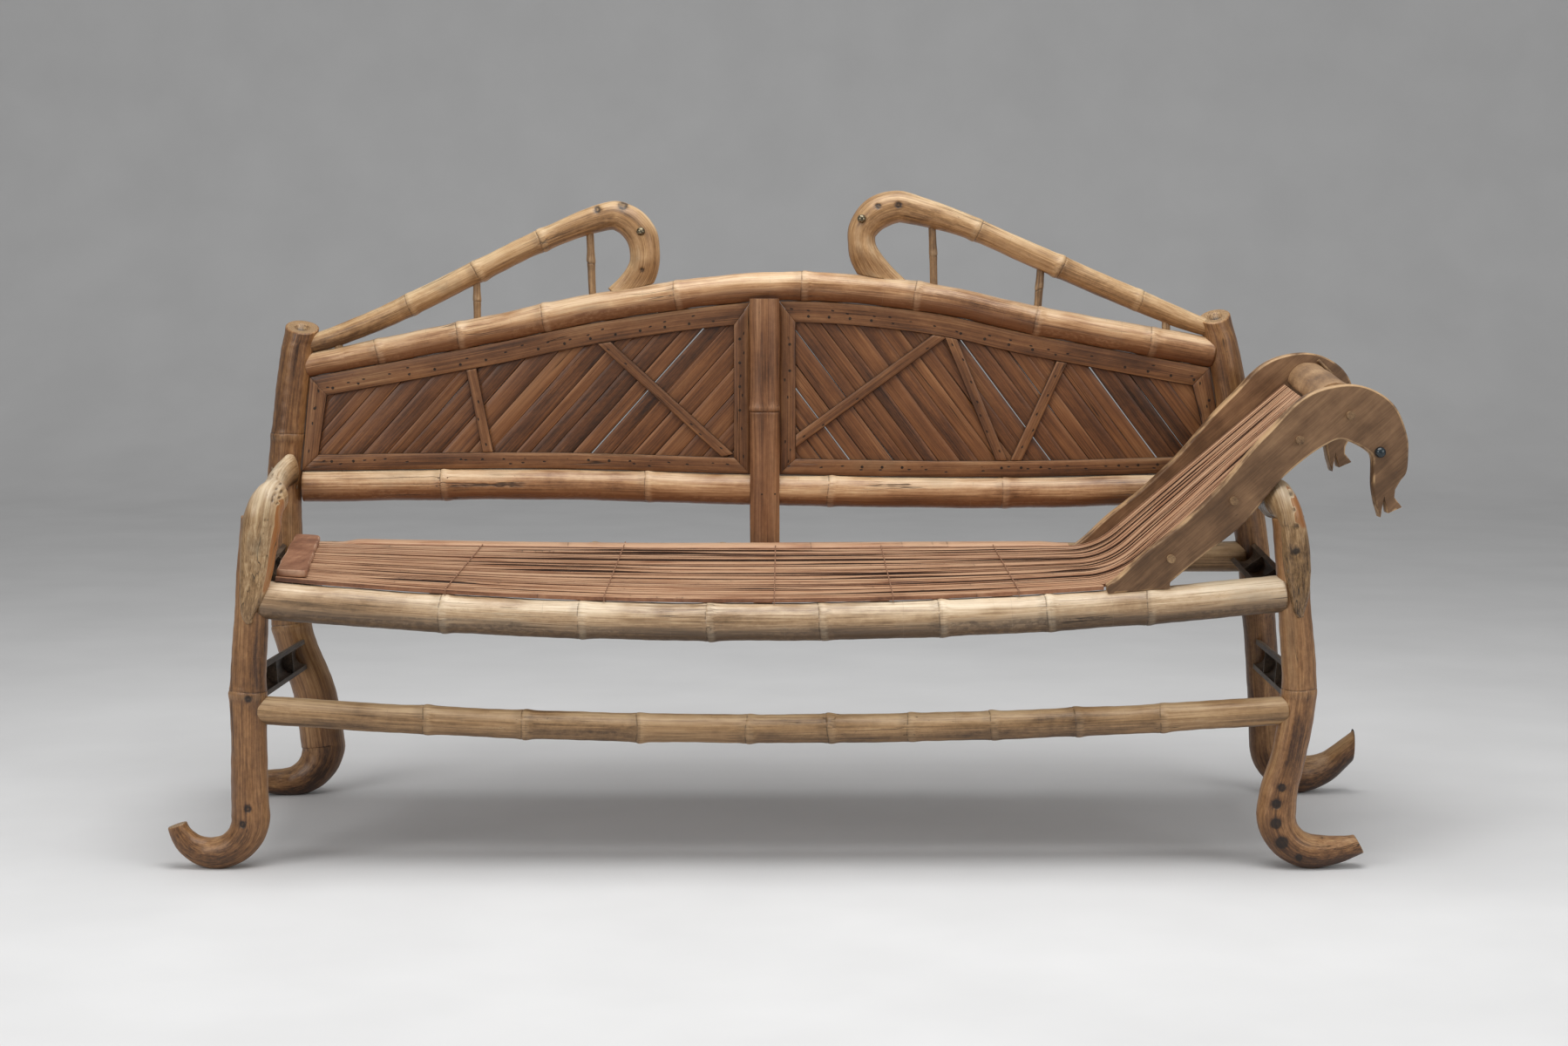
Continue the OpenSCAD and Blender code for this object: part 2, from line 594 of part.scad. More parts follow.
// Share of the run from leg to post, outward bow, drop, and how much slimmer than the arm
arm_rows = [[0.945, 12, 7, 4, 13], [0.86, 21, 18, 7, 10.5], [0.69, 22, 26, 8, 10], [0.515, 19, 28, 7, 9],
    [0.345, 14, 25, 6, 8.5], [0.17, 10, 14, 3.5, 8], [0.1, 6, 7, 2, 7.5]];
// Distance behind the leg's axis, drop, outward shift, and how much wider than the arm's front
left_hook = [[10, 3, 2, 2], [-3, 12, 6, 4.5], [-9, 26, 10, 6]];
right_hook = [[10, 3, 2, -1], [-3, 12, 6, -1.5], [-9, 26, 12, -2]];
// Share of the height from tip to arm, distance ahead of the leg's axis, half thickness, half width
left_tongue = [[0.78, 9, 28, 29.5], [0.62, 12, 25, 28], [0.42, 18, 19, 25], [0.22, 25, 12, 19.5],
    [0.08, 25, 9, 11], [0, 25, 6, 5]];
right_tongue = [[0.78, 9, 28, 20], [0.62, 12, 25, 21.5], [0.42, 18, 19, 21], [0.22, 25, 12, 16],
    [0.08, 25, 9, 10], [0, 25, 6, 5]];
function arm_curve(leg_curve, post_curve, side, lean) =
    let (a = meet(post_curve, arm_z) + [-side * post_r / 2.3, -inset * post_r, 0])
    let (b = meet(leg_curve, leg_top) - [side * lean[0], 0, 0])
    spline(concat(
        [[a[0], a[1], arm_z, arm_r + 1, arm_r / 2]],
        [for (k = arm_rows) [mix(b[0], a[0], k[0]) + side * k[1], mix(0, a[1], k[0]), arm_z - k[2],
            arm_r - k[3], arm_r - k[4]]],
        [[b[0], arm_bend_y, arm_z - 1, arm_r - 0.5, arm_front_w]]), 4);
function arm_stations(leg_curve, post_curve, side, lean, hook, rows, reach) =
    let (b = meet(leg_curve, leg_top) - [side * lean[0], 0, 0], tip = arm_h - reach)
    concat(
        culm(arm_curve(leg_curve, post_curve, side, lean), y_of, arm_nodes, 3),
        [for (k = hook) [b[0] + side * k[2], k[0], arm_z - k[1], arm_r - 0.5, arm_front_w + k[3]]],
        [for (i = [1:len(rows)])
            let (k = rows[i - 1], z = mix(tip, arm_z, k[0]))
            [meet(leg_curve, min(z, leg_top))[0] - side * lean[i], -k[1], z, k[2], k[3]]]);
left_arm_stations = arm_stations(front_left_curve, rear_left_curve, left, left_lean,
    left_hook, left_tongue, tongue_reach + 6);
right_arm_stations = arm_stations(front_right_curve, rear_right_curve, right, right_lean,
    right_hook, right_tongue, tongue_reach - 4);
function arm_tenon(st) = end_rod(st, false, tenon_reach);
module arm(st, leg_curve, post_curve, rail_x, pegs) {
    cut_r = leg_radius(leg_curve, arm_h - tongue_reach) + node_swell + rest_gap;
    difference() {
        union() {
            difference() {
                sweep(st, [1, 0, 0]);
                leg_cutter(post_curve, arm_z, 60);
                rod(meet(leg_curve, arm_h - 1.4 * tongue_reach), meet(leg_curve, leg_top), 2 * cut_r);
                rail_cutter(front_rail_curve, rail_x, rest_gap);
            }
            rods([arm_tenon(st)], arm_tenon_d, 0);
        }
        rods(pegs, tongue_peg_d, bore_fit);
        rods([arm_peg(post_curve)], peg_d, bore_fit);
    }
}
module left_arm() {
    color(straw) placed() arm(left_arm_stations, front_left_curve, rear_left_curve,
        front_rail_curve[0][0] + leg_r, left_tongue_pegs);
}
module right_arm() {
    color(straw) placed() arm(right_arm_stations, front_right_curve, rear_right_curve,
        front_rail_curve[len(front_rail_curve) - 1][0] - leg_r, right_tongue_pegs);
}

// Bearers under the mat, tenoned into the front and rear seat rails
bearer_r = bearer_d / 2;
bearer_tenon_d = 0.5 * bearer_d;
bearer_x = [-740, -526, -280, -16, 168, 363, board_foot_x + 44];
function front_top(x) = let (s = reading(front_rail_curve, x_of, x)) s[2] + s[3] + node_swell + rest_gap;
function rear_top(x) = let (s = reading(rear_rail_curve, x_of, x)) s[2] + s[3] + node_swell + rest_gap;
function mat_under(x, y) = mix(front_top(x), rear_top(x), y / frame_depth);
function bearer_point(x, y) = [x, y, mat_under(x, y) - rest_gap - bearer_r];
function bearer_tenons(x) = [
    [bearer_point(x, 5), bearer_point(x, 70)],
    [bearer_point(x, frame_depth - 70), bearer_point(x, frame_depth - 5)]];
module rail_cutter(curve, x, grow) {
    a = reading(curve, x_of, x - 40);
    b = reading(curve, x_of, x + 40);
    m = reading(curve, x_of, x);
    lift = [0, 0, m[2] - (a[2] + b[2]) / 2];
    rod(xyz(a) + lift, xyz(b) + lift, 2 * (m[3] + grow));
}
module bearer_mortises() {
    for (x = bearer_x) {
        rods(bearer_tenons(x), bearer_tenon_d, bore_fit);
    }
}
module seat_bearers() {
    color(tan_culm) placed() for (x = bearer_x) {
        union() {
            difference() {
                rod(bearer_point(x, 0.37 * front_rail_d), bearer_point(x, frame_depth - 0.37 * rear_rail_d), bearer_d);
                rail_cutter(front_rail_curve, x, node_swell + rest_gap);
                rail_cutter(rear_rail_curve, x, node_swell + rest_gap);
            }
            rods(bearer_tenons(x), bearer_tenon_d, 0);
        }
    }
}
module front_seat_rail() {
    color(straw) placed() level_culm(front_rail_curve, front_rail_nodes, front_rail_tenon_d,
        front_left_curve, front_rail_left_z, front_right_curve, front_rail_right_z,
        concat(front_left_pegs, front_right_pegs)) bearer_mortises();
}
module rear_seat_rail() {
    color(tan_culm) placed() level_culm(rear_rail_curve, rear_rail_nodes, rear_rail_tenon_d,
        rear_left_curve, rear_rail_z, rear_right_curve, rear_rail_z,
        concat(rear_left_pegs, rear_right_pegs)) bearer_mortises();
}
module front_stretcher() {
    color(tan_culm) placed() level_culm(stretcher_curve, stretcher_nodes, stretcher_tenon_d,
        front_left_curve, stretcher_h, front_right_curve, stretcher_h,
        concat(front_left_pegs, front_right_pegs));
}
module left_side_rail() {
    color(dark_split) placed() split_culm(left_rail_ends, left, seat_tilt,
        front_left_curve, side_rail_z, rear_left_curve, side_rail_z);
}
module right_side_rail() {
    color(dark_split) placed() split_culm(right_rail_ends, right, seat_tilt,
        front_right_curve, side_rail_z, rear_right_curve, side_rail_z);
}
module left_side_stretcher() {
    color(dark_split) placed() split_culm(left_low_ends, left, low_tilt,
        front_left_curve, side_stretcher_front_h, rear_left_curve, side_stretcher_rear_h);
}
module right_side_stretcher() {
    color(dark_split) placed() split_culm(right_low_ends, right, low_tilt,
        front_right_curve, side_stretcher_front_h, rear_right_curve, side_stretcher_rear_h);
}

// Spindles pass through the crest and stand in the top rail
function spindle(neck, top_x, low_x) =
    let (c = reading(neck, x_of, top_x), b = reading(top_rail_curve, x_of, low_x))
    [[low_x, frame_depth, b[2]], [top_x, frame_depth, c[2] + c[3] + 3]];
left_spindles = [for (s = [[0.884, 0.884], [0.602, 0.602], [0.373, 0.367]])
    spindle(left_neck, -s[0] * rear_left_x, -s[1] * rear_left_x)];
right_spindles = [for (s = [[0.814, 0.814], [0.554, 0.545], [0.326, 0.332]])
    spindle(right_neck, s[0] * rear_right_x, s[1] * rear_right_x)];
eye_drop = 50;
left_eye = [left_turn_x + 66, left_crest_h - eye_drop];
right_eye = [right_turn_x - 90, right_crest_h - eye_drop];
eye_stud_depth = 9;
eye_stud_dome = 4;
eye_stud_y = frame_depth - crest_r - 4.5;
module crest(neck, nodes, head, post, post_z, curve, spindles, eye, tip_x) {
    difference() {
        union() {
            difference() {
                sweep(concat(culm(neck, x_of, nodes, 4), head), [0, 1, 0]);
                leg_cutter(post, post_z, 60);
                rail_cutter(top_rail_curve, tip_x, node_swell + rest_gap);
            }
            rods([end_rod(curve, false, tenon_reach)], crest_tenon_d, 0);
        }
        rods(spindles, spindle_d, bore_fit);
        rods([[[eye[0], 0, eye[1]], [eye[0], eye_stud_y + eye_stud_depth, eye[1]]]], eye_stud_d, bore_fit);
    }
}
module left_crest() {
    color(brown_culm) placed() crest(left_neck, left_neck_nodes, head_part(left_crest_curve, left_head),
        rear_left_curve, left_crest_z, left_crest_curve, left_spindles, left_eye, left_turn_x + 53);
}
module right_crest() {
    color(brown_culm) placed() crest(right_neck, right_neck_nodes, head_part(right_crest_curve, right_head),
        rear_right_curve, right_crest_z, right_crest_curve, right_spindles, right_eye, right_turn_x - 60);
}
module left_crest_spindles() {
    color(straw) placed() rods(left_spindles, spindle_d, 0);
}
module right_crest_spindles() {
    color(straw) placed() rods(right_spindles, spindle_d, 0);
}

// Stud with a domed face, its shank pointing into the piece
module stud(p, turn, d, depth, dome) {
    ball_r = (d * d / 4 + dome * dome) / (2 * dome);
    translate(p) rotate([turn, 0, 0]) union() {
        translate([0, 0, -depth]) cylinder(h = depth, d = d, $fn = 48);
        intersection() {
            translate([0, 0, dome - ball_r]) sphere(r = ball_r, $fn = 48);
            translate([0, 0, -1]) cylinder(h = dome + 2, d = d, $fn = 48);
        }
    }
}
module crest_eye_studs() {
    color(brass) placed() for (e = [left_eye, right_eye]) {
        stud([e[0], eye_stud_y, e[1]], 90, eye_stud_d, eye_stud_depth, eye_stud_dome);
    }
}

// Lattice panels: edges follow the rails above and below
panel_gap = 7;
strip_y = frame_depth - 11;
slat_y = strip_y + strip_t + rest_gap;
stile_x = -17;
mitre = rest_gap + 0.1;
function upper_edge(x) = let (s = reading(top_rail_curve, x_of, x)) s[2] - s[3] - panel_gap;
function lower_edge(x) =
    let (s = reading(lower_rail_curve, x_of, x)) s[2] + s[3] + node_swell + rest_gap;
function post_edge(post, side, z) =
    meet(post, z)[0] - side * (leg_radius(post, z) + node_swell + rest_gap);

// A panel is [way from its outer to its inner edge, inner x, outer x at the top, outer x below]
left_panel = [1, stile_x - centre_stile_w / 2 - 3, post_edge(rear_left_curve, left, top_left_z - top_r),
    post_edge(rear_left_curve, left, lower_back_h + lower_r)];
right_panel = [-1, stile_x + centre_stile_w / 2 + 3, post_edge(rear_right_curve, right, top_right_z - top_r),
    post_edge(rear_right_curve, right, lower_back_h + lower_r)];
edge_steps = 12;
function edge_run(from, to, upper, off) = [for (i = [0:edge_steps])
    let (x = mix(from, to, i / edge_steps)) [x, (upper ? upper_edge(x) : lower_edge(x)) + off]];
function inside(p, margin, low, high) = concat(
    edge_run(p[2] + p[0] * margin, p[1] - p[0] * margin, true, -high),
    edge_run(p[1] - p[0] * margin, p[3] + p[0] * margin, false, low));
module plate(points, y, t) {
    translate([0, y + t, 0]) rotate([90, 0, 0]) linear_extrude(height = t) polygon(points);
}
module top_strip(p) {
    plate(concat(edge_run(p[2] + p[0] * mitre, p[1] - p[0] * mitre, true, 0),
        edge_run(p[1] - p[0] * (stile_w + mitre), p[2] + p[0] * (stile_w + mitre), true, -top_strip_w)),
        strip_y, strip_t);
}
module bottom_strip(p) {
    plate(concat(edge_run(p[3] + p[0] * mitre, p[1] - p[0] * mitre, false, 0),
        edge_run(p[1] - p[0] * (stile_w + mitre), p[3] + p[0] * (stile_w + mitre), false, bottom_strip_w)),
        strip_y, strip_t);
}
module side_stile(x_top, x_low, w) {
    plate([[x_top, upper_edge(x_top)], [x_top + w, upper_edge(x_top + w) - top_strip_w],
        [x_low + w, lower_edge(x_low + w) + bottom_strip_w], [x_low, lower_edge(x_low)]],
        strip_y, strip_t);
}
module opening(p) {
    plate(inside(p, stile_w + mitre, bottom_strip_w + mitre, top_strip_w + mitre), strip_y, strip_t);
}
function brace_end(p, share, upper, off) =
    let (x = mix(p[2], p[1], share)) [x, upper ? upper_edge(x) - off : lower_edge(x) + off];
module brace_bar(p, upper, lower, w) {
    a = brace_end(p, upper[0], true, upper[1]);
    b = brace_end(p, lower[0], false, lower[1]);
    run = b - a;
    translate([a[0], strip_y - 5, a[1]]) rotate([0, -atan2(run[1], run[0]), 0])
        translate([-100, 0, -w / 2]) cube([norm(run) + 200, strip_t + 10, w]);
}
module brace(p, ends) {
    intersection() {
        brace_bar(p, ends[0], ends[1], brace_w);
        opening(p);
    }
}
// Each brace runs from a share of the panel's width and a drop to a share and a rise
left_long_ends = [[0.671, 41], [0.9585, 24]];
left_short_ends = [[0.364, 29], [0.403, 29]];
right_long_ends = [[0.6525, 56], [0.983, 47]];
right_middle_ends = [[0.597, 45], [0.483, 33]];
right_short_ends = [[0.338, 29], [0.4455, 33]];

// Slats lie side by side at a slant, numbered square to their run
function across(a, q) = -sin(a) * q[0] + cos(a) * q[1];
function first_slat(p, a) = ceil(across(a, [p[1], lower_edge(p[1])]) / slat_pitch + 0.6);
function last_slat(p, a) = floor(across(a, [p[2], upper_edge(p[2])]) / slat_pitch - 0.6);
slat_inset = 6;
module slats(p, a, nails) {
    difference() {
        intersection() {
            for (k = [first_slat(p, a):last_slat(p, a)]) {
                rotate([0, -a, 0]) translate([-big / 2, slat_y, k * slat_pitch - (slat_pitch - slat_gap) / 2])
                    cube([big, slat_t, slat_pitch - slat_gap]);
            }
            plate(inside(p, slat_inset, slat_inset, slat_inset), slat_y - 5, slat_t + 10);
        }
        rods(nails, nail_d, bore_fit);
    }
}

// Nails stand where the middle of a slat crosses the middle of a strip
function strip_mid(upper, x) = upper ? upper_edge(x) - top_strip_w / 2 : lower_edge(x) + bottom_strip_w / 2;
function crossing(k, a, upper, x, n) =
    n == 0 ? x : crossing(k, a, upper, (cos(a) * strip_mid(upper, x) - k * slat_pitch) / sin(a), n - 1);
function between(v, a, b) = v > min(a, b) && v < max(a, b);
function nail(x, z) = [[x, strip_y - rest_gap, z], [x, slat_y + slat_t, z]];
nail_margin = 10;
function strip_nails(p, a, upper) = [for (k = [first_slat(p, a):last_slat(p, a)])
    let (x = crossing(k, a, upper, (p[1] + p[2]) / 2, 6), m = stile_w + nail_margin)
    if (between(x, p[3] + p[0] * m, p[1] - p[0] * m)) nail(x, strip_mid(upper, x))];
function stile_row(p, a, x) = [for (k = [first_slat(p, a):last_slat(p, a)])
    let (z = (k * slat_pitch + sin(a) * x) / cos(a))
    if (between(z, lower_edge(x) + bottom_strip_w + nail_margin, upper_edge(x) - top_strip_w - nail_margin))
        nail(x, z)];
function outer_mid(p) = (p[2] + p[3] + p[0] * stile_w) / 2;
function inner_mid(p) = p[1] - p[0] * stile_w / 2;
left_a = left_slat_angle;
right_a = -right_slat_angle;
left_top_nails = strip_nails(left_panel, left_a, true);
left_low_nails = strip_nails(left_panel, left_a, false);
left_outer_nails = stile_row(left_panel, left_a, outer_mid(left_panel));
left_inner_nails = stile_row(left_panel, left_a, inner_mid(left_panel));
right_top_nails = strip_nails(right_panel, right_a, true);
right_low_nails = strip_nails(right_panel, right_a, false);
right_outer_nails = stile_row(right_panel, right_a, outer_mid(right_panel));
right_inner_nails = stile_row(right_panel, right_a, inner_mid(right_panel));
left_nails = concat(left_top_nails, left_low_nails, left_outer_nails, left_inner_nails);
right_nails = concat(right_top_nails, right_low_nails, right_outer_nails, right_inner_nails);
nail_head_d = 1.7 * nail_d;
nail_head_t = 0.8;

// Pins that hold the panels off the rails
pin_d = 3;
pin_y = strip_y + strip_t / 2;
pin_sink = 10;
top_pin_x = concat([for (s = [0.804, 0.643, 0.475, 0.237]) -s * rear_left_x],
    [for (s = [0.236, 0.343, 0.397, 0.4535, 0.505, 0.66, 0.847]) s * rear_right_x]);
low_pin_x = concat([for (s = [0.827, 0.482, 0.138]) -s * rear_left_x],
    [for (s = [0.13, 0.471, 0.813]) s * rear_right_x]);
function top_pin(x) = [[x, pin_y, upper_edge(x) - pin_sink], [x, pin_y, upper_edge(x) + panel_gap + pin_sink]];
function low_pin(x) = [[x, pin_y, lower_edge(x) - 1.4 * pin_sink], [x, pin_y, lower_edge(x) + pin_sink]];
top_pins = [for (x = top_pin_x) top_pin(x)];
low_pins = [for (x = low_pin_x) low_pin(x)];

module left_panel_top_strip() {
    color(straw) placed() difference() {
        top_strip(left_panel);
        rods(left_top_nails, nail_d, bore_fit);
        rods(top_pins, pin_d, bore_fit);
    }
}
module right_panel_top_strip() {
    color(straw) placed() difference() {
        top_strip(right_panel);
        rods(right_top_nails, nail_d, bore_fit);
        rods(top_pins, pin_d, bore_fit);
    }
}
module left_panel_bottom_strip() {
    color(straw) placed() difference() {
        bottom_strip(left_panel);
        rods(left_low_nails, nail_d, bore_fit);
        rods(low_pins, pin_d, bore_fit);
    }
}
module right_panel_bottom_strip() {
    color(straw) placed() difference() {
        bottom_strip(right_panel);
        rods(right_low_nails, nail_d, bore_fit);
        rods(low_pins, pin_d, bore_fit);
    }
}
module left_panel_outer_stile() {
    color(straw) placed() difference() {
        side_stile(left_panel[2], left_panel[3], stile_w);
        rods(left_outer_nails, nail_d, bore_fit);
    }
}
module left_panel_inner_stile() {
    color(straw) placed() difference() {
        side_stile(left_panel[1], left_panel[1], -stile_w);
        rods(left_inner_nails, nail_d, bore_fit);
    }
}
module right_panel_outer_stile() {
    color(straw) placed() difference() {
        side_stile(right_panel[2], right_panel[3], -stile_w);
        rods(right_outer_nails, nail_d, bore_fit);
    }
}
module right_panel_inner_stile() {
    color(straw) placed() difference() {
        side_stile(right_panel[1], right_panel[1], stile_w);
        rods(right_inner_nails, nail_d, bore_fit);
    }
}
module left_panel_slats() {
    color(panel_brown) placed() slats(left_panel, left_a, left_nails);
}
module right_panel_slats() {
    color(panel_brown) placed() slats(right_panel, right_a, right_nails);
}
module left_long_brace() {
    color(straw) placed() brace(left_panel, left_long_ends);
}
module left_short_brace() {
    color(straw) placed() brace(left_panel, left_short_ends);
}
module right_long_brace() {
    color(straw) placed() brace(right_panel, right_long_ends);
}
// The middle brace ends beside the long one where they would meet
module right_middle_brace() {
    color(straw) placed() difference() {
        brace(right_panel, right_middle_ends);
        brace_bar(right_panel, right_long_ends[0], right_long_ends[1], brace_w + 2 * mitre);
    }
}
module right_short_brace() {
    color(straw) placed() brace(right_panel, right_short_ends);
}
module panel_nails() {
    color(peg_grey) placed() for (e = concat(left_nails, right_nails)) {
        union() {
            rod(e[0], e[1], nail_d);
            translate(e[0]) rotate([90, 0, 0]) cylinder(h = nail_head_t, d = nail_head_d, $fn = 24);
        }
    }
}
module panel_pins() {
    color(brass) placed() rods(concat(top_pins, low_pins), pin_d, 0);
}

// Upright half culm in the middle of the back
stile_round = 0.65 * centre_stile_w;
stile_axis_y = frame_depth - 6;
stile_back_y = frame_depth - 8;
stile_node_z = lower_back_h + 139;
stile_nail_z = lower_back_h - 11;
stile_nail_pairs = [for (dx = [-5, 18])
    let (front = stile_axis_y - sqrt(stile_round * stile_round - dx * dx))
    [[stile_x + dx, front - 0.8, stile_nail_z], [stile_x + dx, front + 26, stile_nail_z]]];
module centre_stile() {
    low = rear_rail_z + rear_rail_d / 4;
    top = top_z - top_r + 3;
    half = centre_stile_w / 2;
    hollow = stile_round - 1.7 * culm_wall;
    color(straw) placed() difference() {
        intersection() {
            translate([stile_x, stile_axis_y, low]) cylinder(h = top - low, r = stile_round, $fn = 96);
            translate([stile_x - half, stile_back_y - big, 0]) cube([centre_stile_w, big, big]);
        }
        translate([stile_x, stile_axis_y, 0]) cylinder(h = stile_node_z - 3, r = hollow, $fn = 64);
        translate([stile_x, stile_axis_y, stile_node_z + 3]) cylinder(h = big, r = hollow, $fn = 64);
        rail_cutter(top_rail_curve, stile_x, node_swell + rest_gap);
        rail_cutter(lower_rail_curve, stile_x, node_swell + rest_gap);
        rail_cutter(rear_rail_curve, stile_x, node_swell + rest_gap);
        rods(stile_nail_pairs, nail_d, bore_fit);
    }
}
module stile_nails() {
    color(peg_grey) placed() rods(stile_nail_pairs, nail_d, 0);
}
module back_top_rail() {
    color(tan_culm) placed() level_culm(top_rail_curve, top_rail_nodes, top_tenon_d,
        rear_left_curve, top_left_z, rear_right_curve, top_right_z,
        concat(rear_left_pegs, rear_right_pegs)) {
        rods(concat(left_spindles, right_spindles), spindle_d, bore_fit);
        rods(top_pins, pin_d, bore_fit);
    }
}
module back_lower_rail() {
    color(tan_culm) placed() level_culm(lower_rail_curve, lower_rail_nodes, lower_tenon_d,
        rear_left_curve, lower_back_h, rear_right_curve, lower_back_h,
        concat(rear_left_pegs, rear_right_pegs)) {
        rods(stile_nail_pairs, nail_d, bore_fit);
        rods(low_pins, pin_d, bore_fit);
    }
}

// Headrest: two carved boards, rungs between them and a half round crown
board_back = 12;
board_front = board_back - board_t;
board_gap = frame_depth - post_r - rear_board_clear - board_t - board_back;
rear_board_y = board_back + board_gap;
crown_r = crown_w / 2;
front_foot = [board_foot_x, front_top(board_foot_x) + 8];
arm_cross_x = meet(front_right_curve, leg_top)[0] - right_lean[0];
slope_rise = slope_run * (arm_h + slope_over_arm - front_foot[1]) / (arm_cross_x - board_foot_x);
front_crown = front_foot + [slope_run, slope_rise];
rear_foot = front_foot + [3, 5];
rear_crown = front_crown + [rear_board_lift, rear_board_lift];
function on_slope(f, c, s) =
    let (run = c - f, u = unit(run)) f + run * s[0] + [-u[1], u[0]] * s[1];
slope_top = [[0, 0], [0.17, 5], [0.32, 7], [0.5, 18], [0.68, 38]];
slope_low = [[0.62, -35], [0.48, -49], [0.32, -51], [0.18, -55]];
head_top = [[-111, -26], [-82, 6], [-58, 25], [-28, 37], [7, 42], [36, 37], [65, 21], [84, -2],
    [97, -38], [99, -63], [97, -92], [88, -106], [80, -120]];
beak = [[79, -132], [91, -147], [69, -157], [63, -130], [58, -164]];
head_low = [[51, -143], [46, -114], [45, -73], [36, -60], [14, -48], [-7, -42], [-27, -50],
    [-56, -69], [-92, -100]];
function board_outline(f, c, base) = concat(
    [[f[0], base]],
    spline(concat([for (s = slope_top) on_slope(f, c, s)], [for (h = head_top) c + h]), 3),
    [for (h = beak) c + h],
    spline(concat([for (h = head_low) c + h], [for (s = slope_low) on_slope(f, c, s)]), 3),
    [[on_slope(f, c, slope_low[3])[0], base]]);
slope_angle = atan2(slope_rise, slope_run);
mat_front_angle = slope_angle + 6.56;
mat_rear_angle = slope_angle + 4.06;
mat_knee_x = board_foot_x + 37;
mat_knee = [mat_knee_x, mat_under(mat_knee_x, frame_depth / 2)];
function share_back(y) = (y - board_back) / board_gap;
function mat_angle(y) = mix(mat_front_angle, mat_rear_angle, share_back(y));
function mat_way(y) = [cos(mat_angle(y)), sin(mat_angle(y))];
function mat_square(y) = [-sin(mat_angle(y)), cos(mat_angle(y))];

// Rungs carry the mat, so they drop towards the rear as the mat does
rung_r = rung_d / 2;
rung_run = [73.5, 204.5, 341.5];
function rung_point(s, y) = mat_knee + mat_way(y) * s - mat_square(y) * (rung_r + rest_gap);
function lay(q, y) = [q[0], y, q[1]];
function rung_line(s, y) = lay(mix(rung_point(s, board_back), rung_point(s, rear_board_y), share_back(y)), y);
function head_rung(y) = lay(front_crown + [8, -5], y);
function rung_pair(a, b) = concat([for (s = rung_run) [rung_line(s, a), rung_line(s, b)]],
    [[head_rung(a), head_rung(b)]]);
rungs = rung_pair(board_back + rest_gap, rear_board_y - rest_gap);
rung_tenons = rung_pair(board_front - 1, rear_board_y + board_t + 1);

// The crown block lies askew between the heads
crown_front = front_crown + [-7, 8];
crown_rear = rear_crown + [13, -10];
function crown_at(y) = mix(crown_front, crown_rear, share_back(y));
stub_d = rung_end_d - 1;
stub_rise = [0, 14];
crown_stubs = [for (e = [[board_back, crown_front], [rear_board_y, crown_rear]])
    [lay(e[1] + stub_rise, e[0] + (e[0] > board_back ? -10 : -18)), lay(e[1] + stub_rise, e[0] + (e[0] > board_back ? 18 : 10))]];
bead_at = [55, -62];
bead_depth = 7;
function bead(y, c) = [c[0] + bead_at[0], y, c[1] + bead_at[1]];
module arm_bed(y) {
    for (dz = [arm_front_w - arm_r, arm_r - arm_front_w]) {
        rod([arm_cross_x, y - 40, arm_z + dz], [arm_cross_x, y + 60, arm_z + dz],
            2 * (arm_front_w + 2 * rest_gap));
    }
}
module headrest_front_board() {
    color(board_brown) placed() difference() {
        plate(board_outline(front_foot, front_crown, front_foot[1] - 25), board_front, board_t);
        rail_cutter(front_rail_curve, board_foot_x, node_swell + rest_gap);
        rail_cutter(front_rail_curve, board_foot_x + 60, node_swell + rest_gap);
        rail_cutter(front_rail_curve, board_foot_x + 110, node_swell + rest_gap);
        rods(rung_tenons, rung_end_d, bore_fit);
        rods(crown_stubs, stub_d, bore_fit);
        rods([[bead(board_front - 5, front_crown), bead(board_front + bead_depth, front_crown)]], bead_d, bore_fit);
        arm_bed(board_back);
        front_bearer_clear();
    }
}
module front_bearer_clear() {
    x = board_foot_x + 44;
    rod(bearer_point(x, -60), bearer_point(x, frame_depth / 2), bearer_d + 2 * rest_gap);
}
module headrest_rear_board() {
    base = bearer_point(board_foot_x + 44, rear_board_y + board_t)[2] + bearer_r + rest_gap;
    color(board_brown) placed() difference() {
        plate(board_outline(rear_foot, rear_crown, base), rear_board_y, board_t);
        rods(rung_tenons, rung_end_d, bore_fit);
        rods(crown_stubs, stub_d, bore_fit);
        rods([[bead(rear_board_y + board_t - bead_depth, rear_crown), bead(rear_board_y + board_t + 5, rear_crown)]],
            bead_d, bore_fit);
    }
}
module between_boards() {
    translate([-big / 2, board_back + rest_gap, 0]) cube([big, board_gap - 2 * rest_gap, big]);
}
module headrest_rungs() {
    color(tan_culm) placed() for (i = [0:len(rungs) - 1]) {
        union() {
            intersection() {
                rods([rungs[i]], rung_d, 0);
                between_boards();
            }
            rods([rung_tenons[i]], rung_end_d, 0);
        }
    }
}
module headrest_crown() {
    color(brown_culm) placed() union() {
        intersection() {
            rod(lay(crown_at(0), 0), lay(crown_at(frame_depth), frame_depth), crown_w);
            along(lay(crown_front, board_back), lay(crown_rear, rear_board_y))
                translate([-big, -big / 2, -big / 2]) cube([big, big, big]);
            between_boards();
        }
        rods(crown_stubs, stub_d, 0);
    }
}
wedge_d = 6;
wedge_lean = 45;
module crown_wedge() {
    y = rear_board_y - wedge_d / 2 - 1;
    lift = crown_r + rest_gap + wedge_d / 2;
    middle = crown_at(y) + [sin(wedge_lean), cos(wedge_lean)] * lift;
    half = [cos(wedge_lean), -sin(wedge_lean)] * 17;
    color(straw) placed() rod([middle[0] - half[0], y, middle[1] - half[1]],
        [middle[0] + half[0], y, middle[1] + half[1]], wedge_d);
}
module headrest_eye_beads() {
    color(glass_grey) placed() {
        stud(bead(board_front, front_crown), 90, bead_d, bead_depth, 4);
        stud(bead(rear_board_y + board_t, rear_crown), -90, bead_d, bead_depth, 4);
    }
}

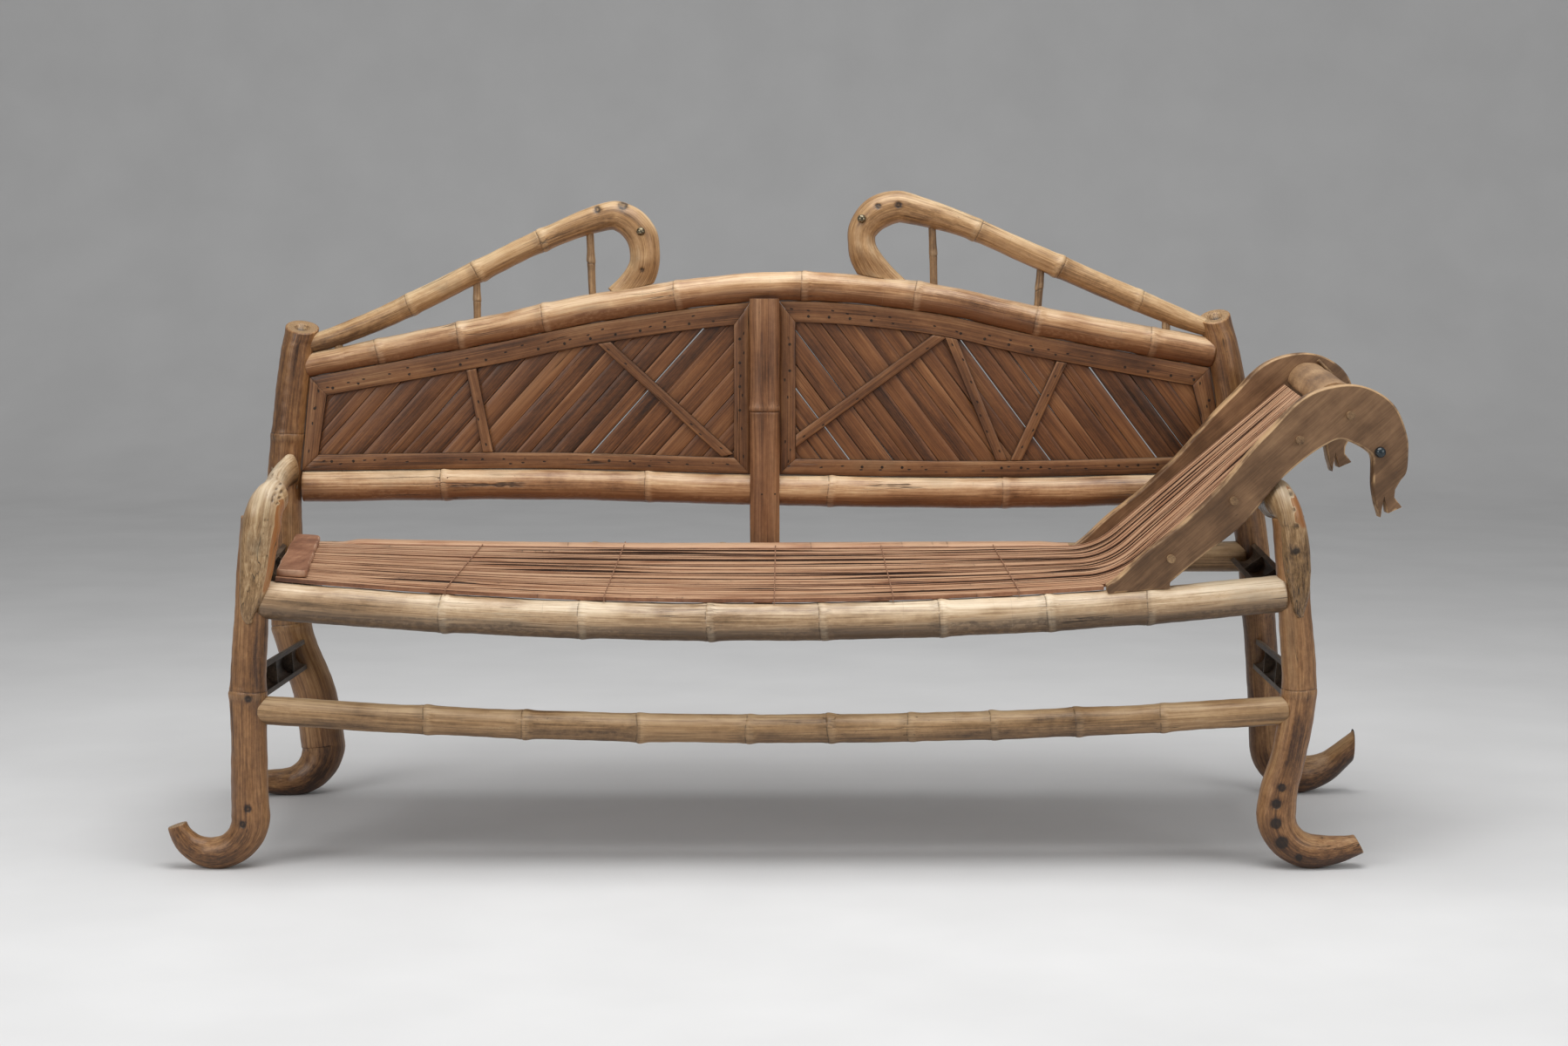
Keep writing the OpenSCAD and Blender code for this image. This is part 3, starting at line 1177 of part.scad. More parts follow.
// Mat: strips laid front to back that run along the seat and up the headrest
mat_bend = 50;
mat_front_y = -6;
mat_back_gap = 15;
mat_rear_y = stile_axis_y - stile_round - mat_back_gap;
function mat_run(y) = (crown_at(y)[1] - mat_t - 2 * rest_gap - mat_knee[1]) / sin(mat_angle(y));
main_y = board_back + rest_gap + 0.5;
main_w = (board_gap - 2 * (rest_gap + 0.5) - (mat_strips - 1) * mat_gap) / mat_strips;
function mat_left(y) = mix(left_rail_ends[0][0], left_rail_ends[1][0], y / frame_depth) + 15;
function seat_run(y, end) = [for (i = [0:12]) let (x = mix(mat_left(y), end, i / 12)) [x, mat_under(x, y)]];
function mat_path(y, w) =
    let (a = [mat_knee_x - mat_bend, mat_under(mat_knee_x - mat_bend, y + w)], b = mat_knee + mat_way(y) * mat_bend)
    concat(seat_run(y + w, a[0]),
        [for (i = [1:6]) let (t = i / 6) mix(mix(a, mat_knee, t), mix(mat_knee, b, t), t)],
        [mat_knee + mat_way(y) * mat_run(y)]);
function thick(path, t) =
    let (last = len(path) - 1)
    concat(path, [for (j = [0:last]) let (i = last - j)
        let (u = unit(path[min(i + 1, last)] - path[max(i - 1, 0)])) path[i] + [-u[1], u[0]] * t]);
module mat_strip(path, y, w) {
    plate(thick(path, mat_t), y, w);
}
module seat_mat() {
    color(mat_tan) placed() {
        for (i = [0:mat_strips - 1]) {
            y = main_y + i * (main_w + mat_gap);
            mat_strip(mat_path(y, main_w), y, main_w);
        }
        front_w = board_back - 0.5 - mat_front_y;
        mat_strip(seat_run(mat_front_y + front_w, board_foot_x - 3), mat_front_y, front_w);
        rear_w = mat_rear_y - rear_board_y - 0.5;
        mat_strip(seat_run(mat_rear_y, board_foot_x - 3), mat_rear_y - rear_w, rear_w);
    }
}

// Cords across the mat that end on the front rail and tuck under at the back
tie_r = tie_d / 2;
tie_off = bearer_r + 3;
tie_clear = 0.5;
function tie_path(x) =
    let (rail = reading(front_rail_curve, x_of, x), wrap = rail[3] + node_swell + tie_r + tie_clear)
    let (rear_low = mat_under(x, mat_rear_y) - tie_r - tie_clear)
    let (step = main_w * abs(rear_top(x) - front_top(x)) / frame_depth, high = mat_t + tie_r + tie_clear + step)
    let (rear_high = mat_under(x, mat_rear_y) + high, front_high = mat_under(x, mat_front_y) + high)
    concat(
        [[mat_rear_y - 34, rear_low], [mat_rear_y, rear_low], [mat_rear_y + 2.5, (rear_low + rear_high) / 2],
            [mat_rear_y, rear_high], [frame_depth / 2, (front_high + rear_high) / 2 + tie_clear],
            [mat_front_y + 2, front_high], [mat_front_y - 2.5, front_high - 2]],
        [for (t = [105, 111]) [wrap * cos(t), rail[2] + wrap * sin(t)]]);
module mat_ties() {
    color(straw) placed() for (i = [1:5]) {
        x = bearer_x[i] + tie_off;
        sweep([for (q = tie_path(x)) [x, q[0], q[1], tie_r, tie_r]], [1, 0, 0], 8);
    }
}
end_board_short = 30;
module seat_end_board() {
    rear_y = mat_rear_y - end_board_short;
    front = mat_left(5);
    rear = mat_left(rear_y);
    rise = mat_under(rear, frame_depth) - mat_under(front, 0);
    fall = (mat_under(front, 0) - mat_under(front + end_board_w, 0)
        + mat_under(rear, frame_depth) - mat_under(rear + end_board_w, frame_depth)) / 2;
    clip = 7;
    color(board_brown) placed()
        translate([front, 0, mat_under(front, 0) + mat_t + 2.5 * rest_gap])
        rotate([atan2(rise, frame_depth), atan2(fall, end_board_w), 0])
        linear_extrude(height = end_board_t) polygon([[clip - 1, 5], [end_board_w - clip, 5], [end_board_w, 5 + clip],
            [rear - front + end_board_w, rear_y - clip], [rear - front + end_board_w - clip, rear_y],
            [rear - front + clip, rear_y], [rear - front, rear_y - clip], [-1, 5 + clip]]);
}
module frame_pegs() {
    color(peg_grey) placed() {
        rods(concat(front_left_pegs, front_right_pegs, rear_left_pegs, rear_right_pegs,
            [arm_peg(rear_left_curve), arm_peg(rear_right_curve)]), peg_d, 0);
        rods(concat(left_tongue_pegs, right_tongue_pegs), tongue_peg_d, 0);
    }
}

front_left_leg();
front_right_leg();
rear_left_post();
rear_right_post();
front_seat_rail();
rear_seat_rail();
left_side_rail();
right_side_rail();
front_stretcher();
left_side_stretcher();
right_side_stretcher();
left_arm();
right_arm();
seat_bearers();
seat_mat();
mat_ties();
seat_end_board();
back_top_rail();
back_lower_rail();
centre_stile();
left_crest();
right_crest();
left_crest_spindles();
right_crest_spindles();
left_panel_top_strip();
left_panel_bottom_strip();
left_panel_outer_stile();
left_panel_inner_stile();
left_panel_slats();
left_long_brace();
left_short_brace();
right_panel_top_strip();
right_panel_bottom_strip();
right_panel_outer_stile();
right_panel_inner_stile();
right_panel_slats();
right_long_brace();
right_middle_brace();
right_short_brace();
panel_nails();
panel_pins();
headrest_front_board();
headrest_rear_board();
headrest_rungs();
headrest_crown();
crown_wedge();
frame_pegs();
stile_nails();
crest_eye_studs();
headrest_eye_beads();
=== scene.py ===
"""Bamboo daybed sofa with hooked culm feet, a slatted back, swan neck crests and a raised headrest.

Lengths are written in millimetres of the working drawing: x along the seat from the middle of the
front legs, y from the front leg plane to the rear one, z up from the floor. placed() turns them
into metres of the shared frame.
"""
import math
import bpy
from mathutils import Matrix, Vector
import numpy as np


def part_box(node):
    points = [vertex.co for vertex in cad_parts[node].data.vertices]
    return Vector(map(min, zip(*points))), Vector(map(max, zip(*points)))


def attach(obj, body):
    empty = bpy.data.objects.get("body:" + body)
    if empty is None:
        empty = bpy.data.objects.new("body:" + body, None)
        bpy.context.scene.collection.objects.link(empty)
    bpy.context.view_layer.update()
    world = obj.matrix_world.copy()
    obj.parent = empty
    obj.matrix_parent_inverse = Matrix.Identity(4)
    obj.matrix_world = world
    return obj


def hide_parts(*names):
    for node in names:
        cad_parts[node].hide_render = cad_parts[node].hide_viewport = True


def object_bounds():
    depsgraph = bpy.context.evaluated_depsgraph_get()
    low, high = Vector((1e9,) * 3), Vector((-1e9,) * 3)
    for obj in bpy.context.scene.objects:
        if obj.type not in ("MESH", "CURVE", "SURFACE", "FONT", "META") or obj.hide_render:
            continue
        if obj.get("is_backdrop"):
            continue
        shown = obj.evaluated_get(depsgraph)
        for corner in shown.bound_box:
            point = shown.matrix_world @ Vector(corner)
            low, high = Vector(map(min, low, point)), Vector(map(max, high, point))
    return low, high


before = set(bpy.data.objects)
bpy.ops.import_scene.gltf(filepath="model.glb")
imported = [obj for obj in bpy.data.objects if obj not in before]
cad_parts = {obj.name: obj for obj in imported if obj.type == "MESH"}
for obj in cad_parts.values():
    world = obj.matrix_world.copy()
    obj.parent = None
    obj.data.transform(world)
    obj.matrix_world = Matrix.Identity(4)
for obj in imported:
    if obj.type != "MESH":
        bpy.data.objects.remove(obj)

cad_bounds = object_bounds()

MIDDLE = np.array([49.8846, 300.0, 0.0])
DEPTH = 600.0
LEFT, RIGHT = -1, 1
X, Z = 0, 2
# Each point is marked with the metres past its nearest node (FAR without one), its tone, and its
# cut: 0 is skin, 1 sawn wood and 2 a hollow, painted near black as the shade deep inside it.
FAR, EVEN = 0.06, 0.5
UNCUT, SAWN, HOLLOW = [FAR, EVEN, 0.0], [FAR, EVEN, 1.0], [FAR, EVEN, 2.0]


# Shapes
def placed(points):
    """Metres of the frame: (millimetres - middle) / 1000."""
    return (np.asarray(points, float) - MIDDLE) * 0.001


def unit(v):
    """v divided by its length."""
    return v / np.linalg.norm(v, axis=-1, keepdims=True)


def triples(a, b, c):
    """Arrays a, b and c spread to one shape, as the three numbers of each point."""
    return np.stack(np.broadcast_arrays(a, b, c), -1)


def mix(a, b, t):
    """a + (b - a) t."""
    return a + (b - a) * t


def smooth_step(v, low, high):
    """3t^2 - 2t^3, where t runs from 0 at low to 1 at high."""
    t = np.clip((v - low) / (high - low), 0, 1)
    return t * t * (3 - 2 * t)


def smooth_path(rows, n=24):
    """Catmull-Rom curve through rows a, b, c, d: half of
    2b + (c - a)t + (2a - 5b + 4c - d)t^2 + (3b - a - 3c + d)t^3 between b and c."""
    p = np.asarray(rows, float)
    q = np.concatenate([p[:1], p, p[-1:]])
    a, b, c, d = q[:-3, None], q[1:-2, None], q[2:-1, None], q[3:, None]
    t = (np.arange(n) / n)[None, :, None]
    between = 0.5 * (2 * b + (c - a) * t + (2 * a - 5 * b + 4 * c - d) * t ** 2
                     + (3 * b - a - 3 * c + d) * t ** 3)
    return np.concatenate([between.reshape(-1, p.shape[1]), p[-1:]])


def at(curve, axis, value):
    """Row of a curve where it reaches a value of x or z, read off between its rows."""
    order = np.argsort(curve[:, axis])
    return np.stack([np.interp(value, curve[order, axis], curve[order, k]) for k in range(4)], -1)


def run_length(points):
    """Distance along a path, summed from point to point."""
    return np.r_[0, np.cumsum(np.linalg.norm(np.diff(points, axis=0), axis=1))]


def waves(rng, s, angle, size, length):
    """Slow unevenness: the sum of size/m cos(m angle + 2 pi s / length_m + phase) for m = 1, 2, 3."""
    out = np.zeros(np.broadcast(s, angle).shape)
    for m in (1, 2, 3):
        turn = 2 * math.pi / (length * rng.uniform(0.6, 1.6))
        out += size / m * np.cos(m * angle + turn * s + rng.uniform(0, 6.28))
    return out


def skin(rings, grain, marks, caps="fan"):
    """Closed skin over a grid of rings: places j and j+1 of rings i and i+1 make a four-sided face.
    A fan cap closes an end round the ring's middle, a flat cap with one face. The sign of the
    volume inside decides which way all faces point. Returns points, corners, sizes, grain, marks."""
    r, k = rings.shape[:2]
    index = np.arange(r * k).reshape(r, k)
    after = np.roll(index, -1, 1)
    quads = np.stack([index[:-1], after[:-1], after[1:], index[1:]], -1).reshape(-1, 4)
    marks = np.broadcast_to(marks, grain.shape)
    points, grain, marks = rings.reshape(-1, 3), grain.reshape(-1, 3), marks.reshape(-1, 3)
    a, b, c, d = (points[quads[:, i]] for i in range(4))
    volume = np.sum(a * np.cross(b, c)) + np.sum(a * np.cross(c, d))
    ends = []
    if caps == "fan":
        for ring, turned in ((0, False), (r - 1, True)):
            centre = np.full(k, len(points))
            fan = [centre, index[ring], after[ring]] if turned else [centre, after[ring], index[ring]]
            ends.append(np.stack(fan, -1))
            own = index[ring]
            points = np.vstack([points, points[own].mean(0)])
            grain = np.vstack([grain, grain[own].mean(0)])
            marks = np.vstack([marks, marks[own].mean(0)])
    else:
        ends = [index[0][::-1][None], index[-1][None]]
    faces = [quads] + ends
    if volume < 0:
        faces = [f[:, ::-1] for f in faces]
    corners = np.concatenate([f.ravel() for f in faces])
    sizes = np.concatenate([np.full(len(f), f.shape[1]) for f in faces])
    return points, corners, sizes, grain, marks


def piece(name, skins, finish, slot, nodes, crease=None):
    """One object of several skins, with its place in its mesh, in metres of the frame."""
    first, corners = 0, []
    for s in skins:
        corners.append(s[1] + first)
        first += len(s[0])
    points = placed(np.concatenate([s[0] for s in skins]))
    corners = np.concatenate(corners).astype(np.int32)
    sizes = np.concatenate([s[2] for s in skins])
    starts = np.r_[0, np.cumsum(sizes)[:-1]].astype(np.int32)
    mesh = bpy.data.meshes.new(name)
    mesh.vertices.add(len(points))
    mesh.vertices.foreach_set("co", points.ravel())
    mesh.loops.add(len(corners))
    mesh.loops.foreach_set("vertex_index", corners)
    mesh.polygons.add(len(sizes))
    mesh.polygons.foreach_set("loop_start", starts)
    mesh.polygons.foreach_set("use_smooth", np.ones(len(sizes), bool))
    mesh.update(calc_edges=True)
    for key, part in (("grain", 3), ("marks", 4)):
        layer = mesh.attributes.new(key, "FLOAT_VECTOR", "POINT")
        layer.data.foreach_set("vector", np.concatenate([s[part] for s in skins]).ravel())
    if crease:
        mesh.set_sharp_from_angle(angle=math.radians(crease))
    mesh.materials.append(finish)
    obj = bpy.data.objects.new(name, mesh)
    bpy.context.scene.collection.objects.link(obj)
    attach(obj, "root")
    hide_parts(*nodes)


# Rings that close a sawn end: share of the radius, and depth. Below HOLLOW_FROM it is hollow.
CUT_END = ((0.92, -0.2), (0.55, 0), (0.48, 1.2), (0.42, 16), (0.2, 18))
HOLLOW_FROM = 10
# Places beside a node that get a ring of their own, and places near a shaped end.
BESIDE_NODE = np.array([-17, -13, -10, -8, -6.5, -5.3, -4, -2.5, -0.8, 1, 3, 6, 10, 15.0])
NEAR_END = (0.4, 1.2, 2.4, 4, 6, 9, 13)


def culm(path, nodes, axis, seed, ends=("plain", "plain"), swell=1.5, around=56, step=4.0,
         oval=0.014, size=0.35, spots=(), dim=0):
    """Culm skin: rings square to the path. The radius is the path's own, times
    1 + oval (cos 2(angle - turn) + cos(3 angle + turn)/2), plus a ridge swell exp(-(g/9)^2) with a
    sheath scar -0.55 exp(-((g+5.5)/1.4)^2) at distance g from each node, a foot of
    0.5 exp(-|g|/24), slow waves, and above each node, on alternate sides, a bud and its shallow
    groove. A node stands a little askew: g wavers by a cosine of the angle. Spots
    (x, z, radius, depth) are dished into the front, and over the last stretch dim the tone falls
    towards the end. An end is plain or round, and the first one may be cut."""
    rng = np.random.default_rng(seed)
    along = run_length(path[:, :3])
    total = along[-1]
    order = np.argsort(path[:, axis])
    knots = np.interp(nodes, path[order, axis], along[order])
    s = np.r_[np.linspace(0, total, int(total / step) + 2), (knots[:, None] + BESIDE_NODE).ravel()]
    tips = [total - t if end else t for end in (0, 1) if ends[end] != "plain" for t in NEAR_END]
    s = np.unique(np.round(np.clip(np.r_[s, tips], 0, total), 1))
    s[-1] = total
    rows = np.stack([np.interp(s, along, path[:, k]) for k in range(4)], 1)
    centre, radius = rows[:, :3], rows[:, 3]
    turn = rng.uniform(0, 6.28)
    angle = np.linspace(0, 2 * math.pi, around, endpoint=False)[None, :]
    s2 = s[:, None]
    r = radius[:, None] * (1 + oval * np.cos(2 * (angle - turn)) + 0.5 * oval * np.cos(3 * angle + turn))
    r = r + waves(rng, s2, angle, size, 160) + waves(rng, s2, 2 * angle, 0.3 * size, 40)
    tone = np.full(r.shape, rng.uniform(0.35, 0.65))
    near = np.full(r.shape, 1000 * FAR)
    for k, knot in enumerate(knots):
        g = s2 - knot + rng.uniform(0.5, 2.5) * np.cos(angle - rng.uniform(0, 6.28))
        g = g + rng.uniform(0.3, 0.9) * np.cos(3 * angle - rng.uniform(0, 6.28))
        ridge = (swell * np.exp(-(g / 9) ** 2) - 0.55 * np.exp(-((g + 5.5) / 1.4) ** 2)
                 + 0.5 * np.exp(-abs(g) / 24))
        r = r + ridge * rng.uniform(0.7, 1.2) * (1 + 0.3 * np.cos(angle + turn + k))
        bud = np.exp(-(np.angle(np.exp(1j * (angle - turn - math.pi * k))) / 0.3) ** 2)
        r = r - 1.1 * bud * np.where(g > 0, np.exp(-abs(g) / 45), np.exp(-abs(g) / 4))
        r = r + 1.5 * bud ** 3 * np.exp(-((g + 1) / 5) ** 2)
        near = np.where(abs(g) < abs(near), g, near)
        tone = np.where(g > 0, rng.uniform(0.2, 0.8), tone)
    if dim:
        tone = tone * (1 - 0.75 * smooth_step(s2, total - dim, total - 0.4 * dim))
    rounded = 0.5 * radius.mean()
    for end, gap in zip(ends, (s, total - s)):
        if end == "round":
            within = np.clip(1 - gap / rounded, 0, 1) ** 2.6
            r = r * np.sqrt(np.clip(1 - within, 0.02, 1))[:, None]
        if end == "cut":
            r = r - (1.6 * np.clip(1 - gap / 1.6, 0, 1) ** 2)[:, None]
    way = unit(np.gradient(centre, s, axis=0))
    u = unit(np.cross([0, 1.0, 0], way))
    v = np.cross(way, u)
    ring = u[:, None] * np.cos(angle)[..., None] + v[:, None] * np.sin(angle)[..., None]
    rings = centre[:, None] + ring * r[..., None]
    for x, z, reach, depth in spots:
        behind = rings[..., 1] > centre[:, None, 1]
        far = np.hypot(rings[..., 0] - x, rings[..., 2] - z) / reach + 9 * behind
        rings = rings - ring * (depth * np.exp(-far ** 4))[..., None]
        tone = tone - 1.3 * np.exp(-((far - 0.75) / 0.4) ** 2) - 0.9 * np.exp(-(far / 0.7) ** 2)
    grain = triples(r * np.cos(angle), r * np.sin(angle), s2)
    marks = triples(near * 0.001, tone, 0.0)
    if ends[0] == "cut":
        for share, depth in CUT_END:
            closing = centre[0] + way[0] * depth + ring[0] * (r[0] * share)[:, None]
            rings = np.concatenate([closing[None], rings])
        start = grain[0]
        for share, depth in CUT_END:
            grain = np.concatenate([(start * [share, share, 1] + [0, 0, depth])[None], grain])
            told = np.broadcast_to(SAWN if depth < HOLLOW_FROM else HOLLOW, start.shape)
            marks = np.concatenate([told[None], marks])
    return skin(rings, grain * 0.001 + rng.uniform(0, 9, 3), marks)


SAW_REACH = 58


def sawn(parts, point, turn):
    """End sawn off in a plane through a point (x, z): what lies beyond it within SAW_REACH, along
    the direction turn (degrees from x towards z), is brought back onto the plane and marked as
    cut."""
    n = np.array([math.cos(math.radians(turn)), 0.0, math.sin(math.radians(turn))])
    off = (parts[0] - np.array([point[0], 0, point[1]])) * [1, 0, 1]
    over = np.where(np.linalg.norm(off, axis=1) < SAW_REACH, off @ n, 0)
    marks = parts[4].copy()
    marks[over > 0] = SAWN
    return (parts[0] - np.clip(over, 0, None)[:, None] * n,) + parts[1:4] + (marks,)


def slab(outer, inner, front, back, seed, bow=0.7, edge=1.3, tone=0.5, skew=0.0):
    """Strip between two curves of x and z: place w across it is outer + w (inner - outer). Its front
    stands out by bow (1 - (2w - 1)^2), skew tips it, its long edges are rounded and its ends eased."""
    rng = np.random.default_rng(seed)
    width = np.linalg.norm(inner - outer, axis=1).mean()
    e = min(edge / width, 0.2)
    w = np.array([0, e * 0.35, e, 0.25, 0.5, 0.75, 1 - e, 1 - e * 0.35, 1, 1, 1 - e, e, 0])
    lift = bow * (1 - (2 * w - 1) ** 2)
    y = np.array([front + edge, front + 0.3 * edge] + [front] * 5 + [front + 0.3 * edge, front + edge,
                 back - edge, back, back, back - edge]) - np.r_[lift[:9], 0, 0, 0, 0] + skew * (w - 0.5)
    middle = (outer + inner) / 2
    s = run_length(middle)
    first, last = np.interp([1.2, s[-1] - 1.2], s, np.arange(len(s)))
    places = np.sort(np.r_[np.arange(len(s)), first, last])
    read = lambda c: np.stack([np.interp(places, np.arange(len(c)), c[:, k]) for k in (0, 1)], 1)
    o, i, s = read(outer), read(inner), np.interp(places, np.arange(len(s)), s)
    flat = o[:, None] + (i - o)[:, None] * w[None, :, None]
    depth = y[None, :] + waves(rng, s[:, None], w[None, :] * 2, 0.25, 220)
    rings = triples(flat[..., 0], depth, flat[..., 1])
    for end in (0, -1):
        centre = rings[end].mean(0)
        rings[end] = centre + (rings[end] - centre) * [0.985, 0.8, 0.985]
    grain = triples(w[None, :] * width, y[None, :], s[:, None]) * 0.001
    # The rounded long edges take a tone below 0 and are painted dark: painted shade in the creases between
    # neighbouring strips and slats.
    rim = np.where((w < 0.9 * e) | (w > 1 - 0.9 * e), -0.8, tone)
    across = FAR + (w - 0.5) * width * 0.001
    marks = triples(across[None, :], rim[None, :] + 0 * s[:, None], 0.0)
    return skin(rings, grain + rng.uniform(0, 9, 3), marks)


# Length of a step along a board's outline, and how far in the last ring lies, in bevels.
BOARD_STEP, INNERMOST = 2.6, 1.4


def plank(outline, low, high, seat, seed, bevel=2.2):
    """Board over a closed outline of (a, b), walked in even steps: rings of it pulled in along its
    own normals round both faces, less where it turns sharply or is narrow, each closed with one
    flat face. seat(a, b, t) puts them in the drawing."""
    rng = np.random.default_rng(seed)
    outline = np.concatenate([outline, outline[:1]])
    s = run_length(outline)
    even = np.linspace(0, s[-1], int(s[-1] / BOARD_STEP), endpoint=False)
    outline = np.stack([np.interp(even, s, outline[:, k]) for k in (0, 1)], 1)
    ahead = np.roll(outline, -1, 0)
    run, step = ahead - np.roll(outline, 1, 0), ahead - outline
    area = np.sum(outline[:, 0] * ahead[:, 1] - outline[:, 1] * ahead[:, 0])
    normal = unit(np.stack([run[:, 1], -run[:, 0]], 1)) * np.sign(area)
    way = np.arctan2(step[:, 1], step[:, 0])
    turn = np.abs(np.angle(np.exp(1j * (way - np.roll(way, 1)))))
    order = np.arange(len(outline))
    apart = np.abs(order[:, None] - order[None])
    across = np.linalg.norm(outline[:, None] - outline[None], axis=2)
    across[np.minimum(apart, len(order) - apart) < 6] = 99
    room = np.minimum(0.9 / np.maximum(turn, 0.01) ** 2, 0.4 * across.min(1))
    room = np.minimum(1, room / (INNERMOST * bevel))
    for _ in range(3):
        room = np.minimum(room, np.minimum(np.roll(room, 1), np.roll(room, -1)))
    rings, grain, marks = [], [], []
    steps = [(0, INNERMOST), (0, 1), (0.3, 0.45), (1, 0)]
    for face, sign in ((low, 1), (high, -1)):
        for t, inset in steps[::sign]:
            flat = outline - normal * (bevel * inset * room)[:, None]
            depth = np.full(len(flat), face + sign * bevel * t)
            rings.append(seat(flat[:, 0], flat[:, 1], depth))
            grain.append(np.stack([flat[:, 0], flat[:, 1], depth], 1))
            marks.append(np.broadcast_to(SAWN if inset < INNERMOST else UNCUT, grain[-1].shape))
    return skin(np.array(rings), np.array(grain) * 0.001 + rng.uniform(0, 3, 3), np.array(marks), "flat")


FOOT_AT, REAR_FOOT = np.array([516.0, 447.2]), np.array([519.0, 452.2])
CROWN_AT, REAR_CROWN = np.array([879.0, 715.2]), np.array([911.0, 747.2])
BEAD_R = 0.0075
EYE = [float(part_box("headrest_eye_beads")[0][k]) + BEAD_R for k in (X, Z)]


# Finishes
def tint(r, g, b):
    """Colour of 0 to 255 written as a lamp sees it: ((c + 0.055) / 1.055)^2.4."""
    light = [c / 12.92 if c <= 0.04045 else ((c + 0.055) / 1.055) ** 2.4 for c in (r / 255, g / 255, b / 255)]
    return tuple(light) + (1,)


def shaded(colour, share):
    """A share of a colour of 0 to 255, as a lamp sees it."""
    return tint(*[c * share for c in colour])


class Wire:
    """A socket of a finish. Sums and products of wires add their Math nodes."""

    def __init__(self, tree, socket=None):
        self.tree, self.socket = tree, socket

    def add(self, kind, settings=None, values=None, out=0):
        """Any other node: its settings first, then the values or wires of its sockets."""
        node = self.tree.nodes.new(kind)
        for key, value in (settings or {}).items():
            if key == "stops":
                ramp = node.color_ramp
                while len(ramp.elements) < len(value):
                    ramp.elements.new(0.5)
                for stop, (place, colour) in zip(ramp.elements, value):
                    stop.position, stop.color = place, colour
            else:
                setattr(node, key, value)
        for key, value in (values or {}).items():
            if isinstance(value, Wire):
                self.tree.links.new(value.socket, node.inputs[key])
            else:
                node.inputs[key].default_value = value
        return Wire(self.tree, node.outputs[out])

    def maths(self, operation, *values):
        return self.add("ShaderNodeMath", {"operation": operation}, dict(enumerate(values)))

    def __add__(self, other):
        return self.maths("ADD", self, other)

    def __sub__(self, other):
        return self.maths("SUBTRACT", self, other)

    def __rsub__(self, other):
        return self.maths("SUBTRACT", other, self)

    def __mul__(self, other):
        return self.maths("MULTIPLY", self, other)

    def __abs__(self):
        return self.maths("ABSOLUTE", self)

    __radd__, __rmul__ = __add__, __mul__

    def most(self, other):
        return self.maths("MAXIMUM", self, other)

    def step(self, low, high):
        """Smooth step of this wire from 0 at low to 1 at high."""
        return self.add("ShaderNodeMapRange", {"interpolation_type": "SMOOTHSTEP"},
                        {0: self, 1: low, 2: high})

    def ramp(self, stops):
        return self.add("ShaderNodeValToRGB", {"stops": stops}, {0: self})

    def stretch(self, *by):
        return self.add("ShaderNodeVectorMath", {"operation": "MULTIPLY"}, {0: self, 1: by})

    def noise(self, scale, detail=2.0, rough=0.5):
        return self.add("ShaderNodeTexNoise", None,
                        {"Vector": self, "Scale": scale, "Detail": detail, "Roughness": rough})

    def paint(self, colour, mask):
        """This colour with another laid over it where the mask is 1."""
        return self.add("ShaderNodeMix", {"data_type": "RGBA"}, {0: mask, 6: self, 7: colour}, 2)

    def part(self, i):
        """One of the three numbers of this wire."""
        return self.add("ShaderNodeSeparateXYZ", None, {0: self}, i)

    def turned(self, by):
        return self.add("ShaderNodeVectorRotate", {"rotation_type": "EULER_XYZ"},
                        {"Vector": self, "Rotation": by})

    def told(self, name):
        """What the points carry under a name."""
        return self.add("ShaderNodeAttribute", {"attribute_name": name}, None, 1)

    def place(self):
        """Place within the piece."""
        return self.add("ShaderNodeTexCoord", None, None, 3)


def new_finish(name):
    """An empty finish: its tree's start and its shader."""
    material = bpy.data.materials.new(name)
    material.use_nodes = True
    tree = material.node_tree
    tree.nodes.clear()
    wire = Wire(tree)
    output = tree.nodes.new("ShaderNodeOutputMaterial")
    shader = tree.nodes.new("ShaderNodeBsdfPrincipled")
    tree.links.new(shader.outputs[0], output.inputs[0])
    return material, wire, shader


def feed(wire, shader, colour, rough, height=None, depth=0.0006, strength=0.6, **fixed):
    """Links colour, roughness and height, and sets the shader's fixed values."""
    tree = wire.tree
    tree.links.new(colour.socket, shader.inputs["Base Color"])
    tree.links.new(rough.socket, shader.inputs["Roughness"])
    if height is not None:
        bump = wire.add("ShaderNodeBump", None, {"Strength": strength, "Distance": depth, "Height": height})
        tree.links.new(bump.socket, shader.inputs["Normal"])
    for key, value in fixed.items():
        shader.inputs[key.replace("_", " ")].default_value = value


# Noises drawn out along the grain: squash along it, scale, detail and roughness.
FIGURES = ((0.012, 760, 2, 0.65), (0.018, 330, 2, 0.6), (0.03, 140, 3, 0.6), (0.1, 34, 2, 0.5),
           (0.55, 13, 3, 0.6), (0.6, 170, 3, 0.7), (0.5, 360, 2, 0.7), (0.016, 95, 1, 0.4),
           (0.3, 21, 1, 0.5))
NAIL_CELLS = 27.8


